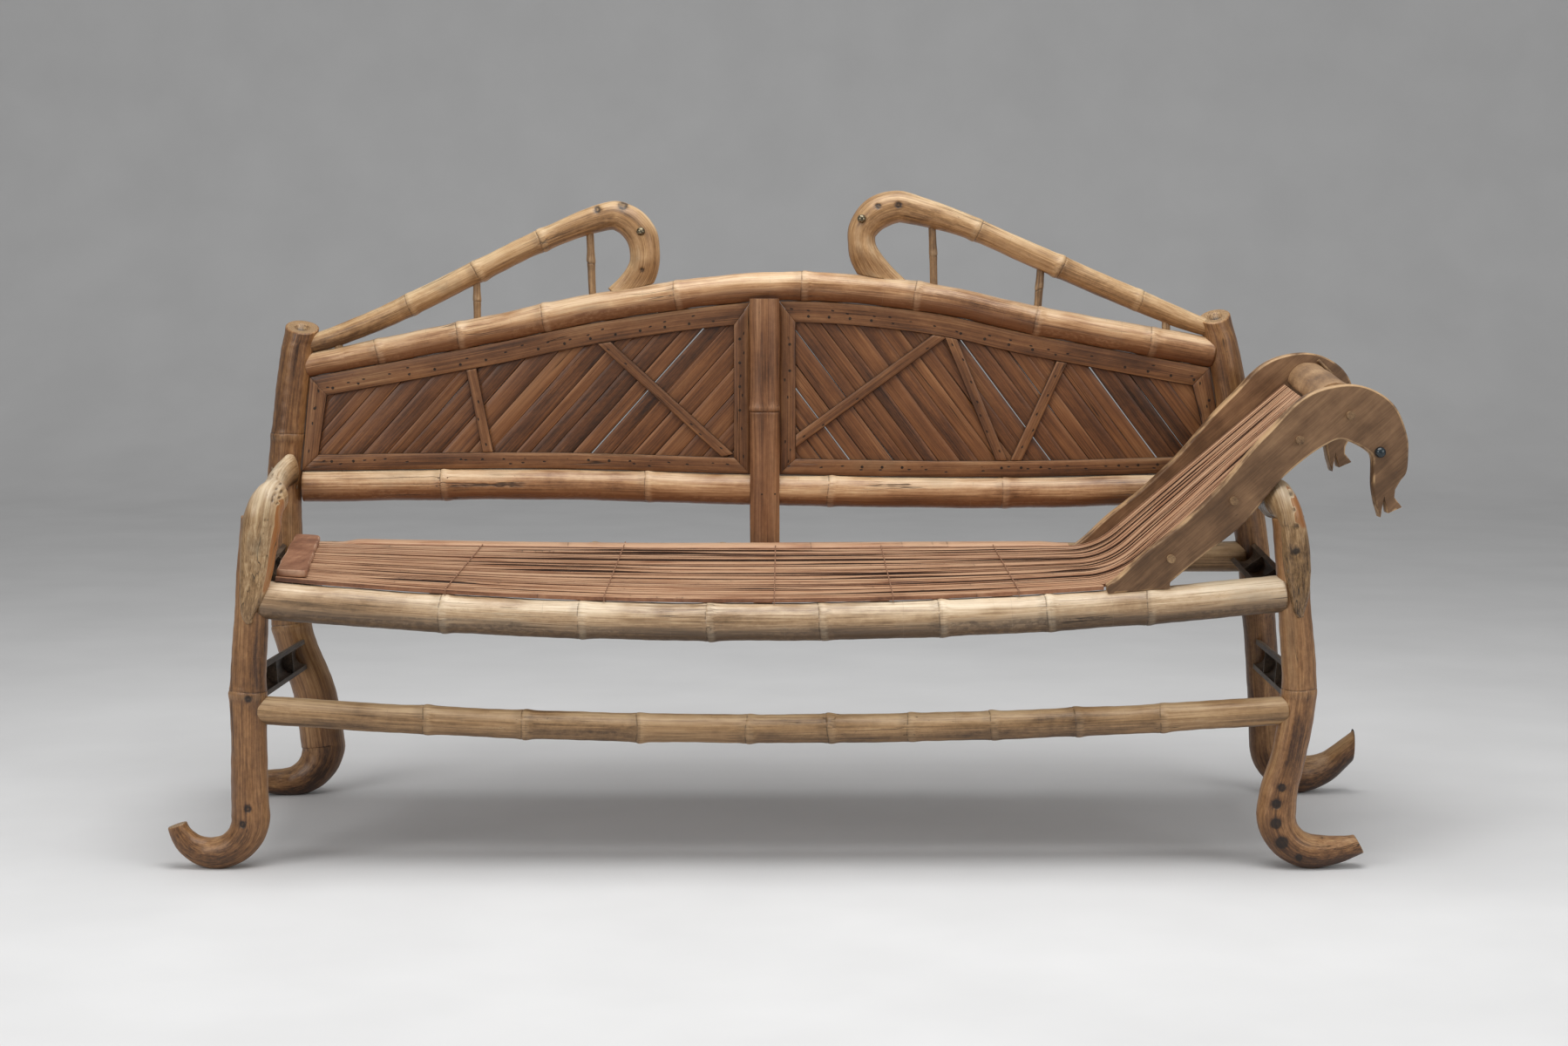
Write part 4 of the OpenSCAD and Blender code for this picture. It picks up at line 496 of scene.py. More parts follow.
def bamboo(name, stops, wear_and_highlight, gloss=0.42, dirt=0.5, cad=None, nails=False, flank=None, under=None):
    """Aged bamboo: fine fibres, threads and broad streaks along the grain, blotches, short dark
    splits and specks, a thin broken line with a pale bloom at each node, a lighter colour on what
    faces up and a darker one on what faces down as painted light and shade, and a paler colour on
    what faces up that is partly worn skin and partly a painted highlight. With under, the faces that
    turn down take that colour as painted shade. Where the tone falls below 0 it is painted dark: real
    spots on culms and arms, painted shade on the long edges of strips and slats and in the mat's
    slits. Above 1 lies a carved flank, and a cut of 2 is painted near black as the shade deep in a
    hollow. nails adds rows of small dark holes: an ellipse in each cell of 36 mm, moved by chance.
    cad gives the direction of the grain on a CAD node, which has no grain of its own."""
    material, wire, shader = new_finish(name)
    if cad:
        grain = wire.place().turned(cad)
        near, tone, cut = None, None, None
    else:
        grain, marks = wire.told("grain"), wire.told("marks")
        near, tone, cut = [marks.part(i) for i in range(3)]
    fine, thread, streak, broad, patch, mottle, speck, split, where = [
        grain.stretch(1, 1, squash).noise(*rest) for squash, *rest in FIGURES]
    crack = (1 - abs(split - 0.5).step(0.0, 0.012)) * where.step(0.54, 0.64)
    up = wire.add("ShaderNodeNewGeometry", None, None, 1).part(2)
    value = 0.49 + (fine - 0.5) * 0.6 + (thread - 0.5) * 0.55 + (streak - 0.5) * 0.5 + (broad - 0.5) * 0.75
    # The term in up makes what faces up lighter and what faces down darker: painted light and shade.
    value = value + (patch - 0.5) * 0.75 + (up.step(-0.9, 0.9) - 0.5) * 0.3
    spot_and_painted_shade = None
    if tone:
        level = tone.maths("MINIMUM", tone.most(0.0), 1.0)
        value = value + (level - 0.5) * 0.3 + (mottle - 0.5) * (1.15 - level) * 0.75 * dirt
        # Tone below 0 is painted dark: real spots and pits, and painted shade on the edges of strips and slats
        # and in the mat's slits.
        spot_and_painted_shade = 1 - tone.step(-1.0, -0.05)
    colour = value.ramp([(p, tint(*c)) for p, c in zip((0.12, 0.4, 0.62, 0.9), stops)])
    # Paler colour on what faces up, where patches and threads allow: partly real wear, partly a painted
    # highlight.
    worn = up.step(0.1, 1.0) * patch.step(0.3, 0.62) * (0.35 + 0.65 * thread.step(0.36, 0.6))
    colour = colour.paint(tint(*wear_and_highlight), worn * 0.75)
    grime = patch.step(0.52, 0.72) * broad.step(0.42, 0.66) * dirt
    colour = colour.paint(shaded(stops[1], 0.6), grime * 0.7)
    dots = (speck + spot_and_painted_shade * 0.14 if tone else speck).step(0.66, 0.73) * where.step(0.36, 0.58)
    dark = shaded(stops[0], 0.4)
    # Painted shade: a darker colour on the faces that turn down, broken by streaks, patches and mottle.
    if under:
        low = (0 - up + (streak - 0.5) * 1.1 + (patch - 0.5) * 0.9).step(0.0, 0.6)
        colour = colour.paint(tint(*under), low * (0.55 + 0.35 * mottle.step(0.35, 0.6)))
    if flank:
        colour = colour.paint(tint(*flank), tone.step(1.05, 1.4) * (0.6 + 0.4 * streak.step(0.3, 0.6)))
    colour = colour.paint(dark, (dots * 0.6 * dirt).most(crack * 0.85))
    height = fine * 0.3 + thread * 0.4 + streak * 0.3 - crack * 1.5 - dots * 0.4 + mottle * 0.3 * dirt
    if tone:
        broken = streak.step(0.38, 0.58)
        line = (1 - abs(near + 0.0055).step(0.0003, 0.0013)) * broken
        bloom = (1 - abs(near - 0.001).step(0.002, 0.0085)) * (0.3 + 0.7 * thread.step(0.35, 0.6))
        shade = (1 - abs(near + 0.010).step(0.003, 0.014)) * broken
        colour = colour.paint(tint(*wear_and_highlight), bloom * 0.16)
        colour = colour.paint(shaded(stops[0], 0.8), shade * 0.22)
        colour = colour.paint(dark, (line * 0.5).most(spot_and_painted_shade * 0.88))
        pith = grain.stretch(1, 1, 0.2).noise(900, 1, 0.5)
        pith = pith.ramp([(0.4, tint(112, 84, 56)), (0.62, tint(184, 150, 108))])
        colour = colour.paint(pith, cut.step(0.2, 0.8))
        # Near black where the cut is 2: painted shade deep inside a hollow end.
        colour = colour.paint(tint(24, 17, 12), cut.step(1.2, 1.9))
        height = height - line * 0.7 - spot_and_painted_shade * 0.8
    if nails:
        cells = grain.part(2) * NAIL_CELLS
        chance = [cells.add("ShaderNodeTexWhiteNoise", {"noise_dimensions": "1D"},
                            {"W": cells.maths("FLOOR", cells) + k}) for k in (0.0, 0.31, 0.62)]
        along = cells.maths("FRACT", cells) - 0.5 + (chance[0] - 0.5) * 0.5
        across = near - FAR + (chance[1] - 0.5) * 0.013
        hole = 1 - (along * along * 165 + across * across * 440000).step(0.7, 1.3)
        hole = hole * chance[2].step(0.3, 0.35)
        colour = colour.paint(tint(22, 14, 10), hole * 0.9)
        height = height - hole * 2.0
    rough = gloss + (patch - 0.5) * 0.3 + grime * 0.2 + (fine - 0.5) * 0.12 + crack * 0.3
    feed(wire, shader, colour, rough, height, 0.0008, 0.75, Specular_IOR_Level=0.45)
    return material


def plain_wood(name, stops, edge, gloss=0.55, along=(0.06, 1, 1), scale=55, slope=0.0, eye=None):
    """Old board: long figure along one direction (turned by slope in the board's plane), pores,
    blotches, scratches, its worn edges, and a dark ring of painted shade round its eye at (x, z)."""
    material, wire, shader = new_finish(name)
    grain, rim = wire.told("grain"), wire.told("marks").part(2)
    if slope:
        grain = grain.turned((0, 0, -slope))
    figure = grain.stretch(*along).noise(scale, 4, 0.62)
    pore = grain.stretch(*along).noise(scale * 9, 2, 0.6)
    blotch = grain.noise(11, 4, 0.62)
    nick = grain.stretch(0.3, 1, 1).noise(210, 2, 0.7)
    value = 0.5 + (figure - 0.5) * 0.6 + (pore - 0.5) * 0.35 + (blotch - 0.5) * 0.9
    colour = value.ramp([(p, tint(*c)) for p, c in zip((0.15, 0.42, 0.62, 0.88), stops)])
    dent = nick.step(0.7, 0.78)
    colour = colour.paint(shaded(stops[0], 0.45), dent * 0.5)
    worn = rim * (blotch + (figure - 0.5) * 0.5).step(0.4, 0.6)
    colour = colour.paint(tint(*edge), worn * 0.7)
    if eye:
        place = wire.place()
        x, z = place.part(0) - eye[0], place.part(2) - eye[1]
        far = x.maths("SQRT", x * x + z * z)
        # Dark ring at the bead's edge: painted shade where the bead meets the board.
        colour = colour.paint(tint(26, 19, 14), (1 - abs(far - BEAD_R).step(0.0006, 0.0016)) * 0.85)
    rough = gloss + (blotch - 0.5) * 0.3 - worn * 0.08
    feed(wire, shader, colour, rough, figure * 0.4 + pore * 0.3 - dent, 0.0007, 0.6, Specular_IOR_Level=0.4)
    return material


def small_metal(name, colour_a, colour_b, metallic, rough):
    """Dull old metal or glass: two colours in blotches, with an uneven sheen."""
    material, wire, shader = new_finish(name)
    cloud = wire.place().noise(420, 3, 0.6)
    colour = cloud.ramp([(0.35, tint(*colour_a)), (0.65, tint(*colour_b))])
    feed(wire, shader, colour, rough + (cloud - 0.5) * 0.3, cloud, 0.0003, 0.4, Metallic=metallic)
    return material


# Finish of the front rail: under gives painted shade on the faces that turn down, and its pale colour on what
# faces up is partly wear and partly a painted highlight.
STRAW = bamboo("straw_bamboo_worn_with_painted_light", [(98, 78, 58), (152, 122, 90), (190, 160, 125), (222, 199, 168)],
               (234, 217, 188), 0.34, under=(80, 62, 46))
LEG = bamboo("front_leg_bamboo", [(66, 42, 26), (122, 84, 50), (154, 112, 72), (184, 146, 102)],
             (188, 152, 110), 0.42, 0.8)
ARM = bamboo("carved_arm_bamboo", [(74, 54, 34), (130, 100, 66), (166, 134, 96), (204, 178, 140)],
             (226, 208, 180), 0.32, 1.0, flank=(150, 98, 54))
TAN = bamboo("tan_bamboo", [(74, 54, 36), (128, 98, 66), (160, 126, 88), (192, 160, 120)],
             (206, 178, 140), 0.42, 0.7)
# Finish of the back rails: under gives painted shade on the faces that turn down.
BACK = bamboo("back_rail_bamboo", [(86, 56, 37), (146, 105, 70), (184, 144, 104), (216, 184, 144)],
              (230, 204, 168), 0.34, under=(112, 70, 42))
BROWN = bamboo("brown_post_bamboo", [(56, 35, 21), (112, 76, 45), (144, 104, 64), (178, 138, 94)],
               (188, 152, 108), 0.4, 0.8)
CREST = bamboo("crest_bamboo", [(86, 60, 38), (142, 106, 68), (176, 138, 95), (206, 174, 132)],
               (218, 194, 156), 0.4, 0.8)
STILE = bamboo("centre_stile_bamboo", [(58, 35, 21), (112, 74, 46), (142, 100, 66), (172, 130, 92)],
               (164, 124, 88), 0.42)
STRIP = bamboo("panel_strip_bamboo", [(52, 31, 18), (100, 64, 37), (129, 88, 54), (160, 121, 82)],
               (172, 134, 94), 0.42, nails=True)
SLAT = bamboo("panel_slat_bamboo", [(46, 27, 14), (91, 55, 29), (119, 76, 42), (147, 102, 63)],
              (128, 84, 50), 0.44)
MAT = bamboo("split_mat_bamboo", [(88, 54, 36), (144, 98, 69), (172, 126, 94), (202, 164, 131)],
             (204, 166, 132), 0.46, 0.5)
ALONG_Y = (math.pi / 2, 0, 0)
CAD_TAN = bamboo("bearer_bamboo", [(60, 42, 28), (104, 78, 52), (134, 104, 72), (164, 134, 96)],
                 (156, 126, 90), 0.5, cad=ALONG_Y)
CAD_SPLIT = bamboo("split_inside_bamboo", [(34, 26, 19), (66, 52, 40), (92, 74, 56), (120, 100, 78)],
                   (116, 96, 74), 0.62, cad=ALONG_Y)
BOARD_STOPS = [(56, 38, 25), (98, 71, 47), (125, 94, 66), (156, 123, 88)]
BOARD_RIM, BOARD_SLOPE = (204, 168, 124), 0.73
FRONT_BOARD = plain_wood("front_board_wood", BOARD_STOPS, BOARD_RIM, slope=BOARD_SLOPE, eye=EYE)
REAR_BOARD = plain_wood("rear_board_wood", BOARD_STOPS, BOARD_RIM, slope=BOARD_SLOPE)
END_BOARD = plain_wood("end_board_wood", [(76, 48, 34), (132, 89, 65), (158, 113, 85), (180, 142, 112)],
                       (190, 154, 126), along=(1, 0.08, 1))
CROWN = plain_wood("crown_block_wood", [(84, 60, 40), (134, 102, 70), (162, 128, 92), (186, 154, 116)],
                   (196, 164, 124), along=(1, 0.08, 1))
PEG = small_metal("peg_end_grain", (84, 66, 48), (132, 110, 84), 0.0, 0.6)
NAIL = small_metal("old_nail", (34, 27, 22), (70, 58, 48), 0.6, 0.5)
BRIGHT_PIN = small_metal("bright_pin", (96, 84, 66), (168, 152, 128), 0.9, 0.4)
BRASS = small_metal("dull_brass", (58, 50, 40), (150, 138, 112), 0.9, 0.24)
GLASS = small_metal("dark_glass_bead", (16, 22, 26), (44, 56, 62), 0.1, 0.08)
THREAD = small_metal("pale_thread", (120, 86, 64), (160, 120, 92), 0.0, 0.8)


# Frame of culms
def leg_path(side, x, y, rows):
    """Smooth path through (outward offset, height, radius) at distance x from the middle."""
    return smooth_path([(side * (x + o), y, z, r) for o, z, r in rows])


FOOT_TURN, FOOT_FLAT, TOE_TAPER = 60.0, 1.5, 0.72


def foot(side, path, sole, toe_r, toe_angle, toe_end, ahead, reach=0.0):
    """Quarter turn of radius FOOT_TURN outwards from the ankle onto the sole, then an arc of radius
    toe_r through toe_angle that lifts the toe while its radius falls to toe_end, and on straight
    for the reach, down to TOE_TAPER of that radius."""
    x, y, _, start = path[-1]
    z = sole - FOOT_FLAT
    t = np.linspace(0, 1, 16)[1:]
    turn = np.radians(90 * t)
    heel = np.stack([x + side * FOOT_TURN * (1 - np.cos(turn)), y - ahead * t / 2,
                     z + FOOT_TURN * (1 - np.sin(turn)), mix(start, sole, t)], 1)
    lift = np.radians(toe_angle * t)
    toe = np.stack([x + side * (FOOT_TURN + toe_r * np.sin(lift)), y - ahead * (0.5 + t / 2),
                    z + toe_r * (1 - np.cos(lift)), mix(sole, toe_end, t)], 1)
    if not reach:
        return np.concatenate([path, heel, toe])
    on = np.array([side * math.cos(lift[-1]), 0, math.sin(lift[-1])]) * reach
    tip = mix(toe[-1], np.r_[toe[-1, :3] + on, toe_end * TOE_TAPER], np.linspace(0, 1, 10)[1:, None])
    return np.concatenate([path, heel, toe, tip])


front_left = leg_path(LEFT, 809, 0, [(-11, 551.7, 25), (0, 422, 26), (8, 278.5, 28), (9, 177.2, 28),
                                     (8, 83, 30)])
front_right = leg_path(RIGHT, 809, 0, [(-12, 551.7, 25), (0, 422, 25.5), (10, 287, 27),
                                       (-3, 185.7, 27), (-17, 126.6, 29), (-22, 85.5, 31)])
rear_left = leg_path(LEFT, 871, DEPTH, [(-38, 843, 29), (-15, 686.6, 29.5), (0, 502.8, 31),
                                        (-9, 307.4, 33.5), (-48, 180.8, 37), (-63, 83.5, 39)])
rear_right = leg_path(RIGHT, 849, DEPTH, [(-72, 862, 28), (-39, 693.9, 30), (0, 452, 29),
                                          (20, 262.2, 29), (34, 92.5, 32)])


def worn_flat(parts):
    """A foot stands flat: nothing of it goes below the floor."""
    points = parts[0].copy()
    points[:, 2] = np.maximum(points[:, 2], 0)
    return (points,) + parts[1:]


LEG_ENDS, POST_ENDS, TOP_SLOPE = ("plain", "round"), ("cut", "round"), 0.38
# Each leg: name, path, nodes, seed, ends, saw cut at the toe, finish, and spots.
legs = (
    ("front_left", foot(LEFT, front_left, 24.5, 57, 100, 12.5, 0), [275], 11, LEG_ENDS,
     ((-934, 67.5), 107), LEG,
     ((-816, 99, 6, 1.6), (-825, 74, 5.5, 1.0), (-812, 272, 5, -1.0), (-795, 251, 4.5, -0.8))),
    ("front_right", foot(RIGHT, front_right, 27, 215, 26, 12, 0), [279], 12, LEG_ENDS,
     ((919, 34), 28), LEG,
     ((790, 132, 6, 0.8), (782, 106, 7, 2.2), (781.5, 76, 8, 1.2), (791.5, 45.5, 9, 1.2),
      (819, 21, 5, 0.8))),
    ("rear_left", foot(LEFT, rear_left, 25, 300, 17, 15, 50), [640, 300], 13, POST_ENDS,
     ((-1090, 30), 150), BROWN, ((-889, 318, 5, 1.0),)),
    ("rear_right", foot(RIGHT, rear_right, 34, 88, 42, 24, 0, 76), [690, 330], 14, POST_ENDS,
     ((1036, 95), 0), BROWN, ()))
for name, path, nodes, seed, ends, saw, finish, spots in legs:
    parts = culm(path, nodes, Z, seed, ends, around=88, step=3.0, spots=spots, dim=230, size=0.5)
    parts = worn_flat(sawn(parts, *saw))
    post = name.startswith("rear")
    if post:
        points = parts[0].copy()
        high = points[:, 2].max()
        near_top = smooth_step(points[:, 2], high - 60, high - 5)
        points[:, 2] -= TOP_SLOPE * (DEPTH + 30 - points[:, 1]) * near_top
        parts = (points,) + parts[1:]
    label = name + ("_post" if post else "_leg")
    piece(label + "_culm", [parts], finish, "brown_culm" if post else "tan_culm", [label])


def level_path(a, b, za, zb, sag, ra, rb):
    """Straight from post to post, less a sag of 4 sag t (1 - t)."""
    p, q = at(a, Z, za), at(b, Z, zb)
    t = np.linspace(0, 1, 121)[:, None]
    start, end = np.r_[p[0] + 0.6 * p[3], p[1:3], ra], np.r_[q[0] - 0.6 * q[3], q[1:3], rb]
    path = mix(start, end, t)
    path[:, 2] -= (4 * sag * t * (1 - t))[:, 0]
    return path


front_rail = level_path(front_left, front_right, 423, 433, 40, 30, 29)
rear_rail = level_path(rear_left, rear_right, 425, 425, 4, 27, 27)
stretcher = level_path(front_left, front_right, 250, 250, 30, 22.5, 22.5)
lower_ends = at(rear_left, Z, 550.0)[0], at(rear_right, Z, 550.0)[0]
lower_rail = smooth_path([(mix(*lower_ends, w), DEPTH, 550 + dz, 28) for w, dz in
                          [(0.02, 0), (0.27, 4), (0.5, -6), (0.75, -11), (0.98, -1)]])
TOP_Z, DROP_LEFT, DROP_RIGHT, TOP_R = 903.0, 140.0, 117.0, 26.0
top_left_x = at(rear_left, Z, TOP_Z - DROP_LEFT)[0] + 18
top_right_x = at(rear_right, Z, TOP_Z - DROP_RIGHT)[0] - 18
# Stations from each end to the middle: share of the way out, share of the drop, change of radius.
top_rail = smooth_path(
    [(top_left_x * out, DEPTH, TOP_Z - DROP_LEFT * drop, TOP_R + r)
     for out, drop, r in ((1, 1, -5), (0.62, 0.56, -1), (0.34, 0.23, 0))]
    + [(0, DEPTH, TOP_Z, TOP_R)]
    + [(top_right_x * out, DEPTH, TOP_Z - DROP_RIGHT * drop, TOP_R + r)
       for out, drop, r in ((0.33, 0.15, 0), (0.6, 0.52, 0), (1, 1, 1))])

for name, path, nodes, seed, finish, slot, node in (
        ("front_rail_culm", front_rail, [-509, -295, -97, 77, 261, 428, 584], 21,
         STRAW, "straw_culm", "front_seat_rail"),
        ("rear_rail_culm", rear_rail, [-560, -320, -90, 140, 350, 560], 22,
         TAN, "tan_culm", "rear_seat_rail"),
        ("front_stretcher_culm", stretcher, [-539, -385, -208, -36, 89, 216, 343, 474, 608], 23,
         TAN, "tan_culm", "front_stretcher"),
        ("lower_back_rail_culm", lower_rail, [-583, -224, 99, 409], 24,
         BACK, "tan_culm", "back_lower_rail"),
        ("arched_top_rail_culm", top_rail, [-695, -553, -403, -169, 53, 252, 464, 666], 25,
         BACK, "tan_culm", "back_top_rail")):
    piece(name, [culm(path, nodes, X, seed)], finish, slot, [node])


def crest_path(post, post_z, side, neck_x, crown, bend, head):
    """A neck from the post to neck_x with a slight S of (share, radius, rise), then the head's turn."""
    p = at(post, Z, post_z)
    neck_z = crown - max(h[1] + h[2] for h in head)
    a = np.array([p[0] - side * 18, DEPTH, post_z])
    b = np.array([neck_x, DEPTH, neck_z])
    rows = [tuple(mix(a, b, t) + [0, 0, dz]) + (21 + dr,) for t, dr, dz in bend]
    rows += [(neck_x - side * h[0], DEPTH, neck_z + h[1], h[2]) for h in head]
    return smooth_path(rows)


left_crest = crest_path(
    rear_left, 801, LEFT, -299.6, 1049,
    [(0, -5, 0), (0.12, -3, -7), (0.3, -1.5, -8), (0.57, -1.5, 0), (0.8, -1.5, 6)],
    [(0, 0, 24), (38, -4, 26.5), (64, -29, 28), (72, -60, 26.5), (69, -90, 26.5), (52, -120, 28),
     (28, -146, 29)])
right_crest = crest_path(
    rear_right, 829.5, RIGHT, 242.8, 1071,
    [(0, -6.5, 0), (0.12, -3, -2), (0.3, -1.5, 0), (0.57, -1, 4), (0.8, -1, 9)],
    [(0, 0, 26.5), (34, 4, 29), (66, -9, 29.5), (86, -34, 26), (89, -57, 24.5), (82, -84, 27),
     (58, -119, 29), (30, -146, 29)])


def resting(parts):
    """A head is carved to sit on the top rail: towards the rail it narrows in depth by half, and no
    point lies inside the rail's upper half."""
    points = parts[0].copy()
    s = at(top_rail, X, points[:, 0])
    slim = 1 - 0.55 * smooth_step(s[:, 2] + s[:, 3] + 48 - points[:, 2], 0, 48) * (abs(points[:, 0]) < 330)
    points[:, 1] = DEPTH + (points[:, 1] - DEPTH) * slim
    inside = (s[:, 3] + 0.8) ** 2 - (points[:, 1] - DEPTH) ** 2
    points[:, 2] = np.maximum(points[:, 2], s[:, 2] + np.sqrt(np.clip(inside, 0, None)))
    return (points,) + parts[1:]


for side, crest, nodes, seed, spots in (
        ("left", left_crest, [-640, -520, -408], 31,
         ((-265, 1045, 9, 0.8), (-310, 1038, 6.5, 1.5), (-232, 932, 4, 1.5))),
        ("right", right_crest, [640, 500, 355], 32, ((181, 1043, 5.5, 1.2), (217, 1045, 6, 1.2)))):
    piece(side + "_swan_crest", [resting(culm(crest, nodes, X, seed, around=80, step=3.0, spots=spots))],
          CREST, "brown_culm", [side + "_crest"])


def stud(x, z, y, r, high):
    """Domed stud on the front: rings of a dome, y - high (1 - (q/r)^2)^0.6 at distance q from its
    middle, on a short shank."""
    share = np.linspace(1, 0.06, 12)
    q = np.r_[r - 0.6, r, share * r][:, None]
    out = np.r_[y + 5, y + 0.6, y - high * (1 - share ** 2) ** 0.6]
    turn = np.linspace(0, 2 * math.pi, 40, endpoint=False)
    rings = triples(x + q * np.cos(turn), out[:, None], z + q * np.sin(turn))
    return skin(rings, rings * 0.001, np.array(UNCUT))


piece("brass_eye_domes", [stud(-233.6, 999, 573.2, 7.6, 5.5), stud(152.8, 1021, 572.4, 7.6, 5.5)],
      BRASS, "brass_trim", ["crest_eye_studs"])


def spindle(crest, top_x, low_x, seed):
    """Thin culm from the top rail up into the crest."""
    t, b = at(crest[:len(crest) - 110], X, top_x), at(top_rail, X, low_x)
    ends = np.array([[low_x, DEPTH, b[2], 6.5], [top_x, DEPTH, t[2], 6.5]])
    rows = mix(ends[0], ends[1], np.linspace(0, 1, 20)[:, None])
    return culm(rows, [mix(b[2], t[2], 0.55)], Z, seed, swell=0.7, around=20, oval=0.03, size=0.2)


for side, crest, sign, seed, places in (
        ("left", left_crest, LEFT, 41, [(770, 770), (524.3, 524.3), (324.9, 319.7)]),
        ("right", right_crest, RIGHT, 44, [(691, 691), (470.3, 462.7), (276.8, 281.9)])):
    parts = [spindle(crest, sign * a, sign * b, seed + i) for i, (a, b) in enumerate(places)]
    piece(side + "_spindles", parts, TAN, "straw_culm", [side + "_crest_spindles"])


# Arms
ARM_R, ARM_Z = 29.0, 581.0
# Stations from the leg back to the post: share of the way, bow outwards, sag, and how much thinner
# and narrower the arm is there.
ARM_ROWS = [(0.945, 12, 7, 4, 13), (0.86, 21, 18, 7, 10.5), (0.69, 22, 26, 8, 10), (0.515, 19, 28, 7, 9),
            (0.345, 14, 25, 6, 8.5), (0.17, 10, 14, 3.5, 8), (0.1, 6, 7, 2, 7.5)]


def arm_skin(leg, post, side, lean, hook, tip, rows, carved, pits, seed):
    """Arm that sags from post to leg and hooks down over the leg as a carved tongue. Its rings are
    ellipses, thick in the plane of the bend and wide along x, squared by the power 0.75 where the
    tongue is carved. Its right flank is marked, from a share of the width and above a height
    (carved), and pits (x, z, radius) dot the front."""
    rng = np.random.default_rng(seed)
    end = at(post, Z, ARM_Z)
    a = np.array([end[0] - side * 30 / 2.3, DEPTH - 18])
    b = at(leg, Z, 551.7)[0] - side * lean[0]
    path = [(a[0], a[1], ARM_Z, ARM_R + 1, ARM_R / 2, 0)]
    path += [(mix(b, a[0], w) + side * bow, a[1] * w, ARM_Z - drop, ARM_R - t, ARM_R - u, 0)
             for w, bow, drop, t, u in ARM_ROWS]
    path += [(b + side * out, y, ARM_Z - drop, ARM_R - 0.5, ARM_R - 7 + wide, f)
             for y, drop, out, wide, f in hook]
    for (share, ahead, thick, wide), inward in zip(rows, lean[1:]):
        z = mix(tip, ARM_Z, share)
        path.append((at(leg, Z, min(z, 551.7))[0] - side * inward, -ahead, z, thick, wide, 1))
    path = smooth_path(path, 12)
    s = run_length(path[:, :3])
    places = np.linspace(0, s[-1], 400)
    path = np.stack([np.interp(places, s, path[:, k]) for k in range(6)], 1)
    centre, thick, wide, flat = path[:, :3], path[:, 3, None], path[:, 4, None], path[:, 5, None]
    way = unit(np.gradient(centre, places, axis=0))
    u = unit(np.cross([1.0, 0, 0], way))
    v = np.cross(way, u)
    angle = np.linspace(0, 2 * math.pi, 90, endpoint=False)[None, :]
    cos, sin = np.cos(angle), np.sin(angle)
    across = np.sign(sin) * abs(sin) ** (1 - 0.25 * flat) * wide
    through = np.sign(cos) * abs(cos) ** (1 - 0.12 * flat) * thick
    swell = waves(rng, places[:, None], angle, 0.5, 130) + waves(rng, places[:, None], 2 * angle, 0.25, 30)
    near = np.full(swell.shape, 1000 * FAR)
    for k in (160.0, 395.0):
        g = places[:, None] - k + 2 * np.cos(angle + k)
        swell = swell + 1.4 * np.exp(-(g / 8) ** 2) - 0.6 * np.exp(-((g + 6) / 1.4) ** 2)
        near = np.where(abs(g) < abs(near), g, near)
    size = 1 + swell / ARM_R

    def rings_of(size):
        up, out = (through * size)[..., None], (across * size)[..., None]
        return centre[:, None] + u[:, None] * up + v[:, None] * out

    rings = rings_of(size)
    share = (rings[..., 0] - centre[:, :1]) / wide
    flank = smooth_step(share, carved[0], carved[0] + 0.1)
    flank = flank * smooth_step(rings[..., 2], carved[1], carved[1] + 30) * smooth_step(flat, 0.1, 0.4)
    tone = 0.45 + 0 * share
    behind = 9 * (rings[..., 1] > centre[:, None, 1])
    for x, z, reach in pits:
        far = np.hypot(rings[..., 0] - x, rings[..., 2] - z) / reach + behind
        tone = tone - 1.2 * np.exp(-far ** 2)
        size = size - 1.2 / ARM_R * np.exp(-far ** 2)
    tone = np.where(tone > 0, tone + 1.2 * flank, tone)
    grain = triples(through * size, across * size, places[:, None]) * 0.001
    marks = triples(near * 0.001, tone, 0.0)
    return skin(rings_of(size), grain + rng.uniform(0, 9, 3), marks)


left_lean, right_lean = (21, 9, 7, 7, 4.5, 0, 3), (12, -3, -4.5, -5, -4.5, -2, -3)
left_hook = ((24, 1, 0, 0, 0), (10, 3, 2, 2, 0.2), (-3, 12, 6, 4.5, 0.5), (-9, 26, 10, 6, 0.8))
right_hook = ((24, 1, 0, 0, 0), (10, 3, 2, -1, 0.2), (-3, 12, 6, -1.5, 0.5), (-9, 26, 12, -2, 0.8))
left_tongue = ((0.78, 9, 28, 29.5), (0.62, 12, 25, 28), (0.42, 18, 19, 25), (0.22, 25, 12, 19.5),
               (0.08, 25, 9, 11), (0, 25, 6, 5))
right_tongue = ((0.78, 9, 28, 20), (0.62, 12, 25, 21.5), (0.42, 18, 19, 21), (0.22, 25, 12, 16),
                (0.08, 25, 9, 10), (0, 25, 6, 5))
left_pits = ((-763, 603, 3.5), (-756, 598, 3), (-766, 596, 2.5), (-760, 591, 3), (-767, 588, 2.5),
             (-761, 583, 2.5), (-769, 580, 3.5), (-763, 575, 2.5), (-779, 550, 2.5), (-800, 498, 2),
             (-788, 512, 2))
right_pits = ((765, 611, 3), (770, 602, 2.5), (797, 590, 6), (799, 566, 3.5), (803, 541, 4.5),
              (800, 500, 8), (806, 503, 5))
left_arm = arm_skin(front_left, rear_left, LEFT, left_lean, left_hook, 389, left_tongue,
                    (0.7, 420), left_pits, 51)
right_arm = arm_skin(front_right, rear_right, RIGHT, right_lean, right_hook, 399, right_tongue,
                     (0.05, 520), right_pits, 52)
piece("left_arm_culm", [left_arm], ARM, "straw_culm", ["left_arm"])
piece("right_arm_culm", [right_arm], ARM, "straw_culm", ["right_arm"])

